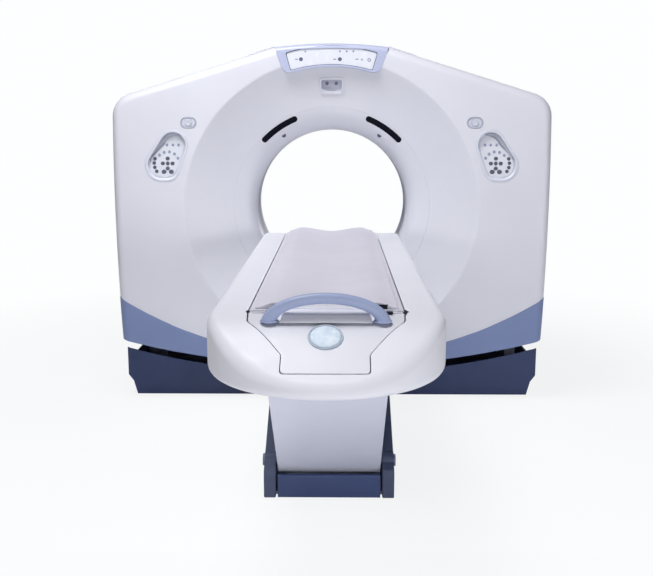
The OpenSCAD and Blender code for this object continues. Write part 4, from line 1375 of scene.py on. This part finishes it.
def cradle_body():
    """The cradle's shell, and the carriages that straddle its rails."""
    r = 5 * MM

    def end_row(a, y, way):
        return [(x, y + way * r * (1 - sin(a)), z) for x, z in cradle_section(r * (1 - cos(a)))]

    turns = spread(0, pi / 2, 4)
    rows = [end_row(a, cradle_y1, 1) for a in turns[::-1]]
    rows += [[(x, y, z) for x, z in cradle_section(0)] for y in spread(cradle_y1 + 0.02, deck_y0 - 0.02, 60)]
    rows += [end_row(a, deck_y0, -1) for a in turns]
    s = Surface()
    s.shell(rows)
    parts = [s.piece("cradle_body", cradle_paint, soft=(0.8 * MM, 2, 60))]
    rail_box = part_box("cradle_rails")
    rail_x = rail_box[1].x - 10 * MM
    rail_low = rail_box[1].z - 18 * MM
    plate_t = 8 * MM
    run = (cradle_y1 + 0.05, cradle_y1 + 0.47)
    for side in (-1, 1):
        for leg in (-1, 1):
            x0 = side * rail_x + leg * 14.3 * MM - plate_t / 2
            block = rounded(box_loop(x0, x0 + plate_t, rail_low, cradle_low + 2 * MM), 1.5 * MM, 3)
            parts.append(prism("carriage", block, on_y, *run, frame_grey, 1 * MM, 2))
    settle(merged("cradle_shell", parts), "cradle", "cradle_pale", "cradle")


cradle_body()

# ---- Foot panel with its latch, handle and badge ----

handle_y = deck_y1 + 0.23


def latch_bar():
    """The raised bar behind the handle. It narrows with height and has a small notch at its middle."""
    foot_z = deck_top - 2 * MM
    notch_half = 6 * MM
    heights = [0, 19, 27, 27.6, 40]
    half_at = [0.129, 0.121, 0.113, 0.0925, 0.0915]
    section = [(-15, 0), (112, 0), (104, 31), (44, 31.5), (42.5, 30.5), (41.5, 27), (38, 24.5), (35, 27),
               (31, 26.5), (9, 18.5), (5, 16)]
    rows = []
    for u in spread(-1, 1, 72):
        row = []
        for dy, h in section:
            x = u * float(np.interp(h, heights, half_at))
            notch = max(1 - abs(x) / notch_half, 0) if dy > 50 and h > 28 else 0
            row.append((x, handle_y + (dy - 30 * notch) * MM, foot_z + (h - 3 * notch) * MM))
        rows.append(row)
    s = Surface()
    s.shell(rows, flip=True)
    return s.piece("latch", panel_paint, soft=(1.2 * MM, 2, 25))


def foot_panel_skin():
    """The foot panel that follows the deck's slope, with its latch."""
    s = Surface()
    front = panel_plan(-0.3 * MM)
    y = cradle_y1 - 1 * MM
    loop = resampled([(front[0][0], y)] + front[1:-1] + [(front[-1][0], y)], 0.01)
    fill(s, loop, [], 0.014, lambda x, y: (x, y, deck_z(y) + 0.2 * MM))
    parts = [s.piece("foot_panel_skin", panel_paint, 14 * MM, (1.6 * MM, 3, 50)), latch_bar()]
    settle(merged("foot_panel_shell", parts), "cradle", "cradle_pale", "foot_panel")


foot_panel_skin()


def end_painted_shade_and_strips():
    """At the joint of panel and cradle: dark wedges in the gap at each end as painted shade, pale strips
    beside them, and dark ovals at the right end as painted shade of its holes.
    """
    y = cradle_y1
    gap = [(-9, -5), (0, -30), (5, -8), (9, 2), (1, 26)]
    s = Surface()
    # painted shade: dark wedges fill the gap at each end, larger at the right end
    for side, size in ((-1, 0.9), (1, 1.35)):
        x = side * (cradle_half + 1 * MM)
        shade_wedge = [(x + side * u * size * MM, y + v * size * MM) for u, v in gap]
        s.shell([[(u, v, deck_top + h * MM) for u, v in shade_wedge] for h in (-6, 0.9)])
    settle(s.piece("end_gaps", painted_shadow_dark, soft=(0.6 * MM, 2, 30)), "table_top", "rubber")
    strips = []
    for side in (-1, 1):
        for back, rise in ((10 * MM, 9 * MM), (26 * MM, 5 * MM)):
            bar = rounded(box_loop(side * 0.148, side * 0.222, y - back, y - back + 6 * MM), 2 * MM, 4)
            strips.append(prism("strip", bar, on_z, deck_top - 2 * MM, deck_top + rise, white, 1.5 * MM))
    settle(merged("end_strips", strips), "cradle", "cradle_pale")
    # painted shade: dark ovals at the right end stand for its shaded holes
    catch = []
    for x, dy, a, b, rise in ((163, 3, 17, 6, 22), (181, -36, 11, 9, 9)):
        oval = [((x + a * u) * MM, y + (dy + b * v) * MM) for u, v in circle_loop(1, 24)]
        low, high = deck_top + 1 * MM, deck_top + rise * MM
        catch.append(prism("catch", oval, on_z, low, high, painted_shadow_dark, 2.5 * MM))
    settle(merged("end_catch", catch), "cradle", "rubber")


end_painted_shade_and_strips()


def handle_bar():
    """Arched bar of flattened round section that widens into a foot at each end."""
    half = 0.158
    rise = 66 * MM
    square = 0.82            # 1 would be an oval
    rows = []
    for t in spread(-1, 1, 72):
        a = radians(88) * t
        foot = abs(t) ** 5
        wide = (15.5 + 8 * foot) * MM
        deep = (16 + 6 * foot) * MM
        y = handle_y + 9 * (1 - t * t) * MM
        x, z = half * sin(a), deck_top - 3 * MM + rise * cos(a)
        out = Vector((sin(a) * rise, cos(a) * half)).normalized()
        section = []
        for c, d in circle_loop(1, 28):
            u = wide * copysign(abs(c) ** square, c)
            v = deep * copysign(abs(d) ** square, d)
            section.append((x + out.x * u, y + v, max(z + out.y * u, deck_top + 0.4 * MM)))
        rows.append(section)
    s = Surface()
    s.shell(rows)
    parts = [s.piece("handle_arch", handle_paint)]
    low, high = deck_top - 2 * MM, deck_top + 3 * MM
    for side in (-1, 1):
        pad = [(side * half + 26 * MM * u, handle_y + 23.5 * MM * v) for u, v in circle_loop(1, 36)]
        parts.append(prism("handle_foot", pad, on_z, low, high, handle_paint, 1.5 * MM))
    settle(merged("handle_shell", parts), "cradle", "handle_blue", "handle")


handle_bar()


def badge_disc():
    """Plain round lens in a raised rim on the sloping panel."""
    down = 52 * MM
    at = (0, slope_y - down, deck_top - down * slope_k)
    place = Matrix.Translation(at) @ Matrix.Rotation(slope_a, 4, "X")

    def turned(name, profile, material):
        s = Surface()
        s.shell([moved(place, [(x, y, h * MM) for x, y in circle_loop(r * MM, 72)]) for r, h in profile])
        return s.piece(name, material)

    rim = [(40, -0.2), (48.5, -0.2), (48.5, 2.6), (47.6, 3.9), (46, 4.4), (44, 3.4), (43.4, 2.2), (40, 1.5)]
    lens = [(42.8, 0.5), (42.8, 2.6), (41.5, 3.8), (38, 4.8), (30, 5.8), (20, 6.5), (10, 6.9), (0.5, 7.0)]
    parts = [turned("badge_rim", rim, badge_rim), turned("badge_lens", lens, badge_lens)]
    settle(merged("badge_disc", parts), "cradle", "badge_blue", "badge")


badge_disc()

# ---- Kick plate of the table's base ----


def kick_plate():
    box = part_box("kick_cover")
    half = box[1].x
    high = box[1].z + 13 * MM
    plate = rounded(box_loop(box[0].y, box[1].y, box[0].z, high), [2 * MM, 1 * MM, 3 * MM, 8 * MM], 5)
    piece = prism("kick_plate", plate, on_x, -half, half, navy, 1.5 * MM, 2)
    settle(piece, "base", "base_navy", "kick_cover")


kick_plate()

# ---- Finish of the CAD pieces that keep their shape ----


def finish(material, bevel, *nodes):
    """Gives CAD pieces their material and a small rounding on their sharp edges."""
    for name in nodes:
        obj = bpy.data.objects[name]
        if not obj.material_slots:
            obj.data.materials.append(material)
        for k in range(len(obj.material_slots)):
            obj.material_slots[k].material = material
        if bevel:
            weld = obj.modifiers.new("weld", "WELD")
            weld.merge_threshold = 0.02 * MM
            soften(obj, bevel * MM, 2, 32)


finish(frame_grey, 1.5, "gantry_base_frame", "tilt_towers", "table_base", "front_leg", "rear_leg")
finish(navy_dark, 4, "table_cheeks")
finish(navy, 4, "base_covers", "base_side_covers")
finish(navy, 3, "floor_duct")
finish(leg_paint, 3, "front_leg_cover")
finish(rubber, 1, "gantry_feet")
finish(rubber, 0, "rotor_belt")
finish(steel, 0.5, "tilt_bearings", "trunnions", "bearing_outer_race", "bearing_inner_race",
       "bearing_rollers", "lift_rod")
finish(pin_paint, 1.5, "pivot_pins")
finish(steel, 0.8, "cradle_rails")
finish(cast_paint, 2, "tilt_gearbox", "rotor_motor", "collimator", "counterweight")
finish(alloy, 1.2, "lift_screw_housing", "tilt_frame", "cover_rails", "motor_pulley", "rotor_disc",
       "xray_tube", "high_voltage_unit", "heat_exchanger", "detector_arc", "table_frame")
finish(brass, 0.6, "slip_ring")
finish(dark_glass, 0.8, "brush_block")
finish(scan_film, 0, "scan_window")

# ---- Stage, lights and camera ----

sensor = 36.0
picture_w = 653
focal_px = 878.0
look_down = 10.33            # degrees
look_left = 0.71
camera_data = bpy.data.cameras.new("camera")
camera_data.sensor_width = sensor
camera_data.lens = focal_px / picture_w * sensor
camera = linked("camera", camera_data)
camera.location = (0.031, -4.998, 1.458)
camera.rotation_euler = (radians(90 - look_down), 0, radians(look_left))
bpy.context.scene.camera = camera

seen_white = (0.985, 0.995, 1.0, 1)


def floor_piece():
    """A plain pale floor. To the camera it glows nearly white, so that only the object's shadow shows."""
    r = 60.0
    near, far = 1.6, 3.6     # the glow grows from one distance to the other
    near_glow = 0.86
    mesh = bpy.data.meshes.new("floor")
    mesh.from_pydata([(-r, -r, 0), (r, -r, 0), (r, r, 0), (-r, r, 0)], [], [(0, 1, 2, 3)])
    floor = linked("floor", mesh)
    s = Shader("floor_pale")
    put(s.tree, s.main, "Base Color", (0.9, 0.9, 0.91, 1))
    put(s.tree, s.main, "Roughness", 0.9)
    away = s.node("ShaderNodeVectorMath", "Value", {0: s.place}, operation="LENGTH")
    ray = s.node("ShaderNodeLightPath", "Is Camera Ray", {})
    glowing = s.ranged(away, near, far, near_glow, 1.0)
    share = s.node("ShaderNodeMath", 0, {0: ray, 1: glowing}, operation="MULTIPLY")
    glow = s.node("ShaderNodeEmission", "Emission", {"Color": seen_white})
    mix = s.node("ShaderNodeMixShader", "Shader", {"Fac": share, 1: s.main.outputs[0], 2: glow})
    put(s.tree, s.tree.nodes["Material Output"], "Surface", mix)
    mesh.materials.append(s.material)


floor_piece()


def studio():
    """A faint light from all sides, and nearly white where the camera sees past the object."""
    world = bpy.data.worlds.new("studio")
    bpy.context.scene.world = world
    world.use_nodes = True
    tree = world.node_tree
    sky = tree.nodes["Background"]
    put(tree, sky, "Color", (0.92, 0.94, 1.0, 1))
    put(tree, sky, "Strength", 0.07)
    seen = add(tree, "ShaderNodeBackground", "Background", {"Color": seen_white, "Strength": 1.0})
    rays = [add(tree, "ShaderNodeLightPath", name, {}) for name in ("Is Camera Ray", "Is Transmission Ray")]
    either = add(tree, "ShaderNodeMath", 0, {0: rays[0], 1: rays[1]}, operation="MAXIMUM")
    mix = add(tree, "ShaderNodeMixShader", "Shader", {"Fac": either, 1: sky.outputs[0], 2: seen})
    put(tree, tree.nodes["World Output"], "Surface", mix)


studio()


def lamp(name, at, aim, size, watts, spread=180):
    """A rectangular lamp; spread is in degrees."""
    data = bpy.data.lights.new(name, "AREA")
    data.shape = "RECTANGLE"
    data.size, data.size_y = size
    data.energy = watts
    data.spread = radians(spread)
    obj = linked(name, data)
    obj.location = at
    obj.rotation_euler = (Vector(aim) - Vector(at)).to_track_quat("-Z", "Y").to_euler()


lamp("key", (-1.1, -1.9, 5.2), (0, -0.8, 1.0), (1.9, 1.9), 200)
lamp("low_right", (4.5, -4.0, 0.9), (0, -0.6, 1.0), (2.0, 2.0), 58)
lamp("foot_end", (0.0, -6.0, 0.8), (0, -2.6, 0.8), (1.5, 1.0), 50)
lamp("bore_from_left", (-2.8, -2.8, 1.5), (0.36, -0.2, 1.05), (1.0, 1.0), 0.42, spread=16)
lamp("bore_from_right", (2.4, -3.2, 1.3), (-0.6, -0.45, 0.75), (0.8, 0.8), 0.42, spread=24)
lamp("floor_bounce", (0.0, -2.2, 0.08), (0, -0.6, 1.2), (2.0, 1.2), 3.6)
lamp("behind", (2.4, 5.2, 2.4), (0, 0.2, 1.0), (2.0, 2.0), 75)

view_settings = bpy.context.scene.view_settings
view_settings.view_transform = "Standard"
